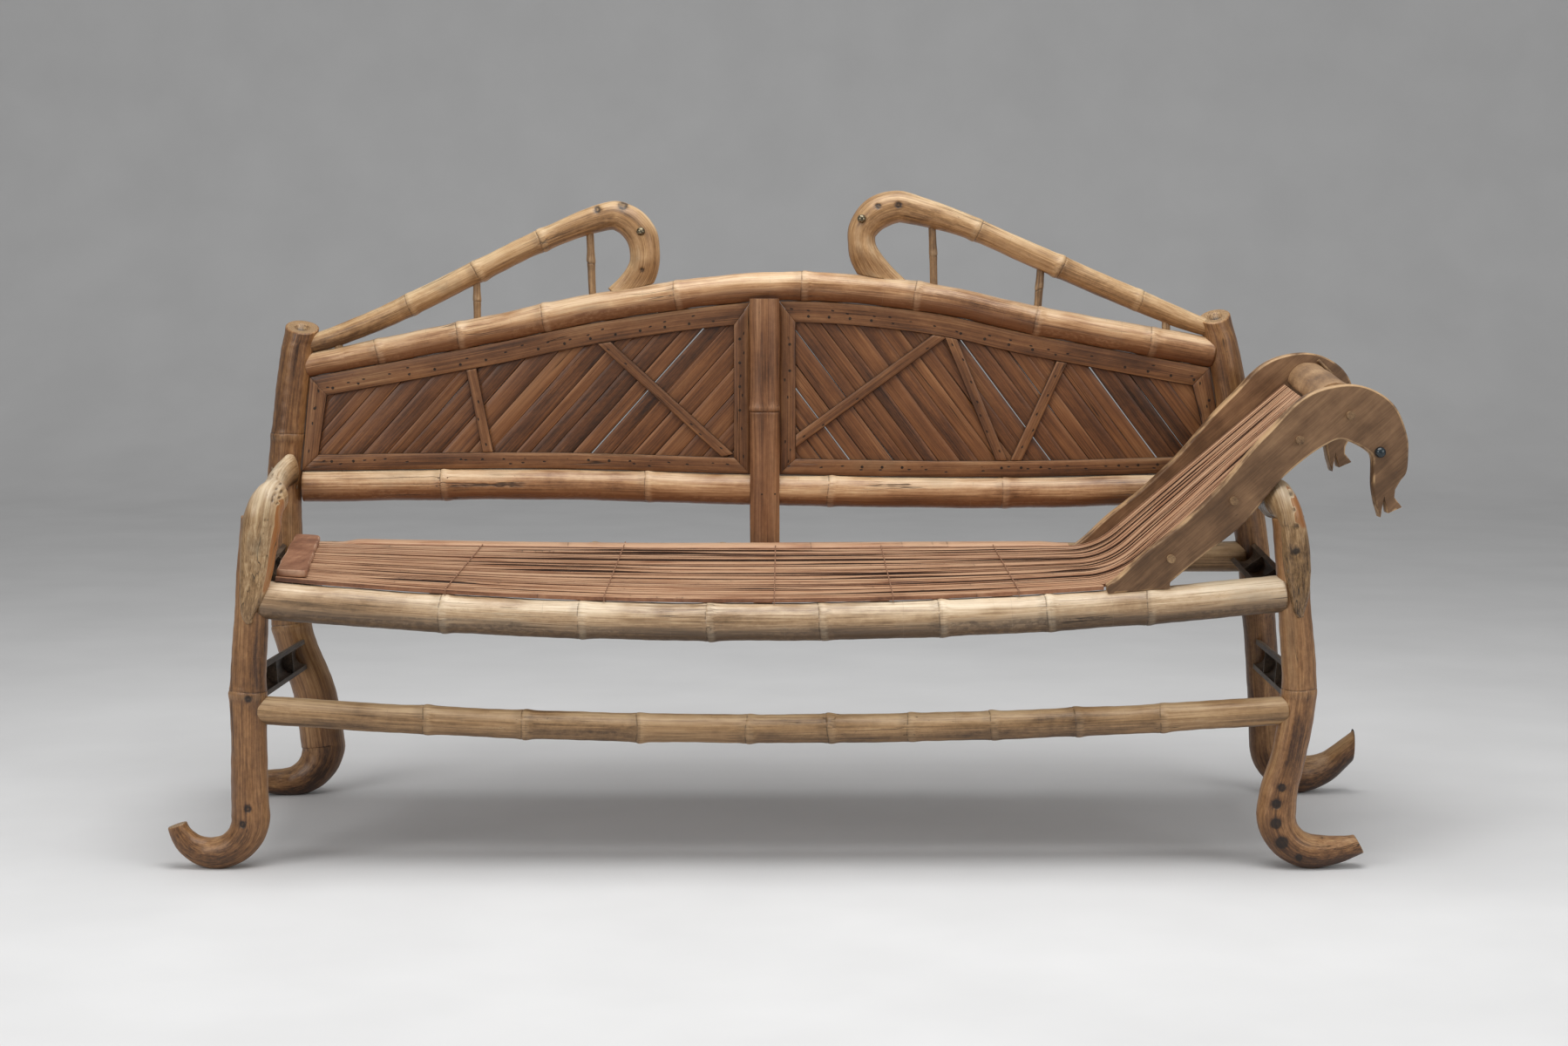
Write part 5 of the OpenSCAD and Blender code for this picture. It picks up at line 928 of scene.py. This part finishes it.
# Back panels
STRIP_Y, STRIP_T, SLAT_Y, SLAT_T = 589.0, 6.0, 595.3, 5.0
STRIP_LOW, STRIP_HIGH, STILE_W, STILE_X = 29.0, 38.0, 30.0, -17.0


def upper_edge(x):
    """Top of the panels, just under the arched rail."""
    s = at(top_rail, X, x)
    return s[..., 2] - s[..., 3] + 0.5


def lower_edge(x):
    """Top of the lower back rail."""
    s = at(lower_rail, X, x)
    return s[..., 2] + s[..., 3] - 0.3


def post_edge(post, side, z):
    s = at(post, Z, z)
    return s[0] - side * (s[3] + 0.2)


# A panel is its way from outer to inner edge, inner x, outer x at the top and outer x below.
STILE_REACH = 24.6
left_panel = (1, STILE_X - STILE_REACH, post_edge(rear_left, LEFT, 737.0),
              post_edge(rear_left, LEFT, 578.0))
right_panel = (-1, STILE_X + STILE_REACH, post_edge(rear_right, RIGHT, 760.0),
               post_edge(rear_right, RIGHT, 578.0))


def edge_run(a, b, upper, off, n=60):
    """Curve from x = a to x = b that keeps a distance from the panel's upper or lower edge."""
    x = np.linspace(a, b, n)
    return np.stack([x, (upper_edge(x) if upper else lower_edge(x)) + off], 1)


def line(a, b, n=24):
    return mix(np.array(a, float), np.array(b, float), np.linspace(0, 1, n)[:, None])


def frame_strips(p, seed):
    """The four strips that frame a panel, mitred where they meet."""
    way, inner, top, low = p
    m = way * (STILE_W + 0.4)
    strip = lambda outer, inner, number: slab(outer, inner, STRIP_Y, STRIP_Y + STRIP_T, seed + number, 1.2)
    up = strip(edge_run(top + way * 0.4, inner - way * 0.4, True, 0),
               edge_run(top + m, inner - m, True, -STRIP_HIGH), 0)
    down = strip(edge_run(low + way * 0.4, inner - way * 0.4, False, 0),
                 edge_run(low + m, inner - m, False, STRIP_LOW), 1)
    sides = [strip(line((a, upper_edge(a)), (b, lower_edge(b))),
                   line((a + w, upper_edge(a + w) - STRIP_HIGH), (b + w, lower_edge(b + w) + STRIP_LOW)), 2 + i)
             for i, (a, b, w) in enumerate([(top, low, way * STILE_W), (inner, inner, -way * STILE_W)])]
    return up, down, *sides


for p, side, seed in ((left_panel, "left", 61), (right_panel, "right", 66)):
    for part, label in zip(frame_strips(p, seed), ("top_strip", "bottom_strip", "outer_stile", "inner_stile")):
        piece(f"{side}_{label}_split", [part], STRIP, "bamboo_strip", [f"{side}_panel_{label}"], 50)


def slanted(t, q, a):
    """x and z of the place t along and q across lines that slope by angle a."""
    return math.cos(a) * t - math.sin(a) * q, math.sin(a) * t + math.cos(a) * q


def span(p, margin, low, high, q, a):
    """Where lines at distance q, that slope by angle a, run inside a panel: first and last t."""
    way, inner, top, bottom = p
    t = np.arange(-1400, 1400, 0.5)
    x, z = slanted(t[None], q[:, None], a)
    up, down = upper_edge(x), lower_edge(x)
    outer = mix(bottom, top, np.clip((z - down) / (up - down), 0, 1)) + way * margin
    inside = (z < up - high) & (z > down + low)
    inside &= (way * (x - outer) > 0) & (way * (inner - way * margin - x) > 0)
    some = inside.any(1)
    return some, t[inside.argmax(1)], t[len(t) - 1 - inside[:, ::-1].argmax(1)]


def slats(p, degrees, seed):
    """Split slats laid side by side at a slant: each has its own width, tone, tip and depth, bulges
    to the front and ends along the panel's outline."""
    rng = np.random.default_rng(seed)
    a = math.radians(degrees)
    corners = [-math.sin(a) * x + math.cos(a) * z for x in (p[1], p[2], p[3])
               for z in (lower_edge(p[1]), upper_edge(p[1]), upper_edge(p[2]))]
    q, skins = min(corners), []
    while q < max(corners):
        width = rng.choice([20, 24, 28, 31, 35], p=[0.15, 0.25, 0.3, 0.2, 0.1]) * rng.uniform(0.95, 1.05)
        gap = rng.choice([-0.9, -0.3, 1.5], p=[0.62, 0.33, 0.05])
        some, t0, t1 = span(p, 6, 6, 6, np.array([q, q + width]), a)
        if some.all() and (t1 - t0).min() > 12:
            u = np.linspace(0, 1, 40)[:, None]
            tip = rng.uniform(-0.5, 0.5)
            edges = []
            for i, off in enumerate((q + 0.1, q + width)):
                t = mix(t0[i], t1[i], u)
                bent = off + tip * np.sin(math.pi * u) + rng.uniform(-0.4, 0.4) * np.sin(7 * u + i)
                edges.append(np.hstack(slanted(t, bent, a)))
            back = rng.uniform(0, 1.6)
            skins.append(slab(edges[0], edges[1], SLAT_Y + back, SLAT_Y + SLAT_T, rng.integers(1e6),
                              rng.uniform(0.3, 1.2), 1.4, rng.uniform(0, 1), rng.uniform(-1.2, 1.2)))
        q += width + gap
    return skins


piece("left_slats_split", slats(left_panel, 48, 71), SLAT, "slat", ["left_panel_slats"], 50)
piece("right_slats_split", slats(right_panel, -53, 72), SLAT, "slat", ["right_panel_slats"], 50)


def brace(p, upper, lower, seed):
    """Brace over the slats between a place under the upper edge and one over the lower edge."""
    ends = []
    for (share, off), top in ((upper, True), (lower, False)):
        x = mix(p[2], p[1], share)
        ends.append(np.array([x, upper_edge(x) - off if top else lower_edge(x) + off]))
    run = unit(ends[1] - ends[0])
    a = math.atan2(run[1], run[0])
    q = -math.sin(a) * ends[0][0] + math.cos(a) * ends[0][1] + np.array([-9.5, 9.5])
    some, t0, t1 = span(p, STILE_W + 0.4, STRIP_LOW + 0.4, STRIP_HIGH + 0.4, q, a)
    edges = []
    for i in (0, 1):
        t = np.linspace(t0[i], t1[i], 40)[:, None]
        edges.append(np.hstack(slanted(t, q[i], a)))
    return slab(edges[0], edges[1], STRIP_Y, STRIP_Y + STRIP_T, seed, 1.0)


for name, p, upper, lower, seed in (
        ("left_long_brace", left_panel, (0.671, 41), (0.9585, 24), 75),
        ("left_short_brace", left_panel, (0.364, 29), (0.403, 29), 76),
        ("right_long_brace", right_panel, (0.6525, 56), (0.983, 47), 77),
        ("right_middle_brace", right_panel, (0.597, 45), (0.483, 33), 78),
        ("right_short_brace", right_panel, (0.338, 29), (0.4455, 33), 79)):
    piece(name + "_split", [brace(p, upper, lower, seed)], STRIP, "bamboo_strip", [name], 50)


def half_culm(x, y, radius, half, low, high, node, seed):
    """Upright half culm: its front is an arc of a culm, its back a shallower hollow, with one node."""
    rng = np.random.default_rng(seed)
    z = np.unique(np.r_[np.linspace(low, high, 110), node + np.array([-9, -7, -6, -5, -3, 0, 3, 6.0])])
    g = z - node
    grow = 1.4 * np.exp(-(g / 7) ** 2) - 0.9 * np.exp(-((g + 6) / 1.3) ** 2)
    side = math.asin(half / radius)
    out, back = np.linspace(-side, side, 21), np.linspace(side, -side, 11)
    angle = np.r_[out, back]
    base = np.r_[np.full(21, radius), np.full(11, radius - 9)]
    stretch = waves(rng, z[:, None], angle[None], 0.35, 170)
    r = base[None] + grow[:, None] * np.r_[np.ones(21), np.zeros(11)] + stretch
    rings = triples(x + r * np.sin(angle), y - r * np.cos(angle), z[:, None])
    grain = triples(r * np.sin(angle), r * np.cos(angle), z[:, None]) * 0.001
    marks = triples(g[:, None] * 0.001, EVEN, 0 * r)
    return skin(rings, grain + rng.uniform(0, 9, 3), marks)


piece("centre_stile_half_culm", [half_culm(STILE_X, 594, 33.8, 26, 438.5, 882, 689, 81)],
      STILE, "straw_culm", ["centre_stile"], 40)


# Headrest
slope_top = [(0, -1.5), (0.06, -1), (0.17, 5), (0.32, 7), (0.5, 18), (0.68, 38)]
slope_low = [(0.62, -35), (0.48, -49), (0.32, -51), (0.18, -55)]
head_top = [(-111, -26), (-82, 6), (-58, 25), (-28, 37), (7, 42), (36, 37), (65, 21), (84, -2),
            (97, -38), (99, -63), (97, -92), (88, -106), (80, -120)]
beak = [(79, -132), (91, -147), (69, -157), (63, -130), (58, -164)]
head_low = [(51, -143), (46, -114), (45, -73), (36, -60), (14, -48), (-7, -42), (-27, -50),
            (-56, -69), (-92, -100)]


def board_outline(f, c, base):
    """Outline of a carved side board: up the slope from its foot f, round the head at c, along the
    beak and back down the underside to its base, a curve that follows the rail."""
    run = c - f
    up = np.array([-run[1], run[0]]) / np.linalg.norm(run)
    slope = lambda rows: [f + run * s + up * d for s, d in rows]
    head = lambda rows: [c + np.array(h, float) for h in rows]
    top = smooth_path(slope(slope_top) + head(head_top), 8)
    low = smooth_path(head(head_low) + slope(slope_low), 8)
    seat = np.linspace(low[-1][0], f[0] + 2, 20)
    points = np.concatenate([top, head(beak), low, np.stack([seat, base(seat)], 1)])
    return points[np.r_[True, np.linalg.norm(np.diff(points, axis=0), axis=1) > 0.2]]


def on_rail(x):
    """Height of the front rail's surface 12 ahead of its axis, less 1."""
    s = at(front_rail, X, x)
    return s[:, 2] + np.sqrt(s[:, 3] ** 2 - 12 ** 2) - 1


upright = lambda a, b, t: np.stack([a, t, b], 1)
front_outline = board_outline(FOOT_AT, CROWN_AT, on_rail)
rear_outline = board_outline(REAR_FOOT, REAR_CROWN, lambda x: 0 * x + 450.6)
piece("front_carved_board", [plank(front_outline, -15, 12, upright, 91)],
      FRONT_BOARD, "board", ["headrest_front_board"], 35)
piece("rear_carved_board", [plank(rear_outline, 499, 533, upright, 92)],
      REAR_BOARD, "board", ["headrest_rear_board"], 35)


def crown_block(seed):
    """Half-round block askew between the boards: an arc of 36 over a flat underside."""
    rng = np.random.default_rng(seed)
    y = np.linspace(12.3, 498.7, 60)
    share = ((y - 12) / 487)[:, None]
    angle = np.radians(np.r_[0, 2, 5, np.linspace(9, 171, 28), 175, 178, 180])
    r = 36 - 2 * np.exp(-(np.minimum(angle, math.pi - angle) / 0.05) ** 2)
    arc = np.stack([-r * np.cos(angle), r * np.sin(angle)], 1)
    loop = np.concatenate([arc, [[30, -0.2], [0, 0], [-30, -0.2]]])
    centre = mix(np.array([872.0, 723.2]), np.array([924.0, 737.2]), share)
    flat = centre[:, None] + loop[None] + waves(rng, y[:, None], loop[None, :, 0] * 0.1, 0.3, 160)[..., None]
    rings = triples(flat[..., 0], y[:, None], flat[..., 1])
    grain = triples(loop[None, :, 0], y[:, None], loop[None, :, 1]) * 0.001
    return skin(rings, grain + 2.5, UNCUT)


piece("crown_half_round", [crown_block(93)], CROWN, "brown_culm", ["headrest_crown"], 40)

# Mat
MAT_T, KNEE_X, MAT_BEND, BOARD_BACK, BOARD_GAP = 5.5, 553.0, 50.0, 12.0, 487.0
MAT_FRONT, MAT_REAR = -6.0, 545.2
# Across a lamella: places, its height at each as a share of its thickness (the rearmost has its
# own), how far each lifts with the front edge, the share of its tone kept under a painted shade that darkens
# its sides, and the painted shade on the faces of an open slit.
ACROSS = np.array([0, 0, 0, 0.04, 0.25, 0.5, 0.75, 0.96, 1, 1])
HIGH = np.array([0, 0.95, 0.98, 1, 1, 1, 1, 0.96, 0.8, 0])
REAR_HIGH = np.array([0, 0.35, 0.6, 0.78, 0.95, 1, 0.95, 0.78, 0.5, 0])
RAISED = np.array([0, 0.8, 0.97, 1, 0.6, 0.25, 0.05, 0, 0, 0])
RIM_SHADED_TONE = np.array([0, 0, 0.7, 1, 1, 1, 1, 0.8, 0.6, 0])
SLIT_SHADE = np.array([1, 1, 0, 0, 0, 0, 0, 0, 0, 0.5])


def rail_top(rail, x):
    s = at(rail, X, x)
    return s[..., 2] + s[..., 3] + 1.7


def mat_under(x, y):
    """Underside of the mat: straight from the front rail's top to the rear rail's."""
    return mix(rail_top(front_rail, x), rail_top(rear_rail, x), y / DEPTH)


def mat_left(y):
    """Left end of the mat, along the left side rail."""
    return mix(-771.9, -834.9, y / DEPTH)


KNEE = np.array([KNEE_X, mat_under(np.array(KNEE_X), 300.0)])


def mat_run(y, climbs):
    """Underside line of the mat at depth y (an array): the seat, a bend round the knee by halves of
    halves, and the slope up to the crown block. Returns x and z, one row for each depth."""
    y = np.asarray(y, float)[:, None]
    end = KNEE_X - MAT_BEND if climbs else 513.0
    x = mix(mat_left(y), end, np.linspace(0, 1, 110)[None])
    seat = np.stack([x, mat_under(x, y)], -1)
    if not climbs:
        return seat
    share = (y - BOARD_BACK) / BOARD_GAP
    a = np.radians(mix(43.0, 40.5, share))
    way = np.stack([np.cos(a), np.sin(a)], -1)
    start, top = seat[:, -1:], KNEE + way * MAT_BEND
    t = np.linspace(0, 1, 12)[None, 1:, None]
    bend = mix(mix(start, KNEE, t), mix(KNEE, top, t), t)
    length = (mix(723.2, 737.2, share) - MAT_T - 0.6 - KNEE[1]) / np.sin(a)
    climb = top + way * (length[..., None] - MAT_BEND) * np.linspace(0, 1, 46)[None, 1:, None]
    return np.concatenate([seat, bend, climb], 1)


def mat_skins(seed):
    """The mat as flattened, split culms: lamellas with their own width, height and tone. At the line
    between two of them the front edge of the rear one lifts by bumps h exp(-((u - c)/w)^2), so a
    slit opens below it and tapers away; the faces of an open slit are painted dark as shade, and each
    lamella's tone falls towards its long sides as painted shade. The rearmost lamella is a rounded, paler
    split."""
    rng = np.random.default_rng(seed)
    skins = []
    for y0, y1, climbs, rear in ((MAT_FRONT, BOARD_BACK - 0.5, False, False),
                                 (BOARD_BACK + 0.8, BOARD_BACK + BOARD_GAP - 0.8, True, False),
                                 (BOARD_BACK + BOARD_GAP + 0.5, MAT_REAR, False, True)):
        widths = rng.choice([5, 9, 13, 18, 25], 120, p=[0.2, 0.26, 0.26, 0.18, 0.1])
        edges = y0 + np.r_[0, np.cumsum(widths)]
        edges = np.array([y0, y1]) if rear else np.r_[edges[edges < y1 - 6], y1]
        rows = mat_run(edges, climbs)
        count = rows.shape[1]
        u = np.linspace(0, 1, count)
        free = smooth_step(u, 0.045, 0.08) * (1 - 0.7 * smooth_step(u, 0.96, 1.0))
        wander, lift = [], []
        for edge in edges:
            wander.append(rng.uniform(0.2, 1.5) * np.sin(u * rng.uniform(4, 16) + rng.uniform(0, 6)))
            bumps = sum(h * np.exp(-((u - c) / w) ** 2) for h, c, w in zip(
                rng.exponential(1.15, 5), rng.uniform(0, 1, 5), rng.uniform(0.02, 0.1, 5)))
            bold = rng.random() < 0.35 + 0.45 * smooth_step(edge, 100, 330)
            lift.append(np.minimum(bumps * bold + rng.uniform(0, 0.2), 2.7) * free)
        wander[0] = wander[-1] = np.zeros(count)
        high, raised = (REAR_HIGH, 0 * RAISED) if rear else (HIGH, RAISED)
        for i in range(len(edges) - 1):
            left = edges[i] + wander[i] + 0.25
            right = edges[i + 1] + wander[i + 1] - 0.25 - 0.35 * lift[i + 1]
            depth = mix(left[:, None], right[:, None], ACROSS[None])
            share = (depth - edges[i]) / (edges[i + 1] - edges[i])
            flat = mix(rows[i][:, None], rows[i + 1][:, None], share[..., None])
            line = (rows[i] + rows[i + 1]) / 2
            way = unit(np.gradient(line, axis=0))
            normal = np.stack([-way[:, 1], way[:, 0]], -1)
            thick = MAT_T + rng.uniform(-0.5, 0.9) + 0.25 * np.sin(u * rng.uniform(5, 25) + rng.uniform(0, 6))
            if rear:
                thick = 5.0 + 5.5 * free + 0.8 * free * np.sin(u * 9 + 1)
            rise = thick[:, None] * high[None] + lift[i][:, None] * raised[None]
            flat = flat + normal[:, None] * rise[..., None]
            rings = triples(flat[..., 0], depth, flat[..., 1])
            s = run_length(line)
            knots = np.sort(rng.uniform(0, s[-1], 4))
            g = s - knots[np.abs(s[:, None] - knots).argmin(1)]
            grain = triples(depth, high[None] * 5, s[:, None]) * 0.001
            tone = np.clip(rng.normal(0.9 if rear else 0.5, 0.28), 0.05, 1.0)
            slit = np.clip(0.3 + 0.7 * lift[i], 0, 1) * (i > 0)
            # The tone falls towards the long sides of each lamella and goes dark on the faces of an open slit:
            # painted shade in the creases and gaps.
            marks = triples(g[:, None] * 0.001, tone * RIM_SHADED_TONE - slit[:, None] * SLIT_SHADE, 0.0)
            skins.append(skin(rings, grain + [0, 0, rng.uniform(0, 3)], marks))
    return skins


piece("split_bamboo_mat", mat_skins(101), MAT, "mat", ["seat_mat"], 60)


def end_board(seed):
    """Loose board over the left end of the mat, turned to lie along the two seat rails."""
    y1 = MAT_REAR - 30
    x0, x1 = mat_left(5.0), mat_left(y1) - 9
    w, run = 46.0, x1 - x0
    rise = mat_under(x1, DEPTH) - mat_under(x0, 0.0)
    fall = (mat_under(x0, 0.0) - mat_under(x0 + w, 0.0)
            + mat_under(x1, DEPTH) - mat_under(x1 + w, DEPTH)) / 2
    shape = [(5, 5), (w - 9, 5), (w - 3, 8), (w, 15), (run + w, y1 - 34), (run + w - 1, y1 - 20),
             (run + w - 5, y1 - 9), (run + w - 12, y1 - 2), (run + w - 20, y1), (run + 7, y1),
             (run + 2, y1 - 3), (run, y1 - 10), (-1, 14), (0, 8)]
    outline = np.concatenate([line(a, b, 14)[:-1] for a, b in zip(shape, shape[1:] + shape[:1])])
    outline[:, 0] += 0.8 * np.sin(outline[:, 1] / 31) + 0.5 * np.sin(outline[:, 1] / 11)
    ax, ay = math.atan2(rise, DEPTH), math.atan2(fall, w)

    def seat(a, b, t):
        y, z = b * math.cos(ax) - t * math.sin(ax), b * math.sin(ax) + t * math.cos(ax)
        return np.stack([x0 + a * math.cos(ay) + z * math.sin(ay), y,
                         mat_under(x0, 0.0) + MAT_T + 0.75 - a * math.sin(ay) + z * math.cos(ay)], 1)
    return plank(outline, 0, 11, seat, seed, 1.8)


piece("seat_end_board_worn", [end_board(111)], END_BOARD, "board", ["seat_end_board"], 35)

# CAD pieces that stay
for finish, names in (
        (CAD_TAN, ["seat_bearers", "headrest_rungs", "crown_wedge"]),
        (CAD_SPLIT, ["left_side_rail", "right_side_rail", "left_side_stretcher", "right_side_stretcher"]),
        (PEG, ["frame_pegs"]), (NAIL, ["panel_nails", "stile_nails"]), (BRIGHT_PIN, ["panel_pins"]),
        (GLASS, ["headrest_eye_beads"]), (THREAD, ["mat_ties"])):
    for name in names:
        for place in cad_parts[name].material_slots:
            place.material = finish


# Floor, light and camera
def floor_finish():
    material, wire, shader = new_finish("pale_floor")
    cloud = wire.place().noise(3, 3, 0.5)
    pale = cloud.ramp([(0.3, tint(222, 222, 222)), (0.7, tint(228, 228, 228))])
    feed(wire, shader, pale, 0.7 + (cloud - 0.5) * 0.1)
    return material


def backdrop():
    """Floor that turns up into a wall far behind, by a quarter circle."""
    turn, bend = np.radians(np.linspace(0, 90, 24)), 2.0
    curve = np.stack([6 + bend * np.sin(turn), bend * (1 - np.cos(turn))], 1)
    run = np.concatenate([[(-7.0, 0.0)], curve, [(8.0, 7.0)]])
    x = np.array([-12.0, 12.0])
    points = triples(x[:, None], run[None, :, 0], run[None, :, 1]).reshape(-1, 3)
    n = len(run)
    a = np.arange(n - 1)
    faces = np.stack([a, a + n, a + n + 1, a + 1], 1)
    mesh = bpy.data.meshes.new("pale_floor_and_wall")
    mesh.from_pydata(points.tolist(), [], faces.tolist())
    mesh.polygons.foreach_set("use_smooth", np.ones(len(faces), bool))
    mesh.materials.append(floor_finish())
    obj = bpy.data.objects.new("pale_floor_and_wall", mesh)
    bpy.context.scene.collection.objects.link(obj)
    obj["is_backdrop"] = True


def lamp(name, place, aim, size, power, colour=(1, 1, 1)):
    """Square soft lamp that faces a point."""
    data = bpy.data.lights.new(name, "AREA")
    data.shape, data.size, data.energy, data.color = "SQUARE", size, power, colour
    obj = bpy.data.objects.new(name, data)
    bpy.context.scene.collection.objects.link(obj)
    obj.location = place
    obj.rotation_euler = (Vector(aim) - Vector(place)).to_track_quat("-Z", "Y").to_euler()


backdrop()
lamp("softbox_over", (0.1, -0.5, 3.1), (0, 0, 0.4), 2.4, 76)
lamp("softbox_left", (-2.6, -2.6, 2.0), (0, 0, 0.5), 1.8, 36)
lamp("softbox_right", (2.8, -2.2, 1.7), (0, 0, 0.5), 1.8, 22)

world = bpy.data.worlds.new("studio")
bpy.context.scene.world = world
world.use_nodes = True
sky = world.node_tree.nodes["Background"].inputs
sky[0].default_value, sky[1].default_value = (1, 1, 1, 1), 0.34

# The photo's camera: focal length and width in its pixels, pitch in degrees, and its place.
FOCAL, PHOTO_WIDTH, SENSOR, PITCH = 3012.4, 1799, 36, 5.532
camera = bpy.data.cameras.new("photo_camera")
camera.sensor_fit, camera.sensor_width, camera.lens = "HORIZONTAL", SENSOR, FOCAL / PHOTO_WIDTH * SENSOR
camera.clip_end = 50
view = bpy.data.objects.new("photo_camera", camera)
view.location = placed([17, -4046, 934.3])
view.rotation_euler = (math.radians(90 - PITCH), 0, 0)
bpy.context.scene.collection.objects.link(view)
bpy.context.scene.camera = view
bpy.context.scene.view_settings.view_transform = "Standard"

[[[float(v) for v in corner] for corner in box] for box in (cad_bounds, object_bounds())]
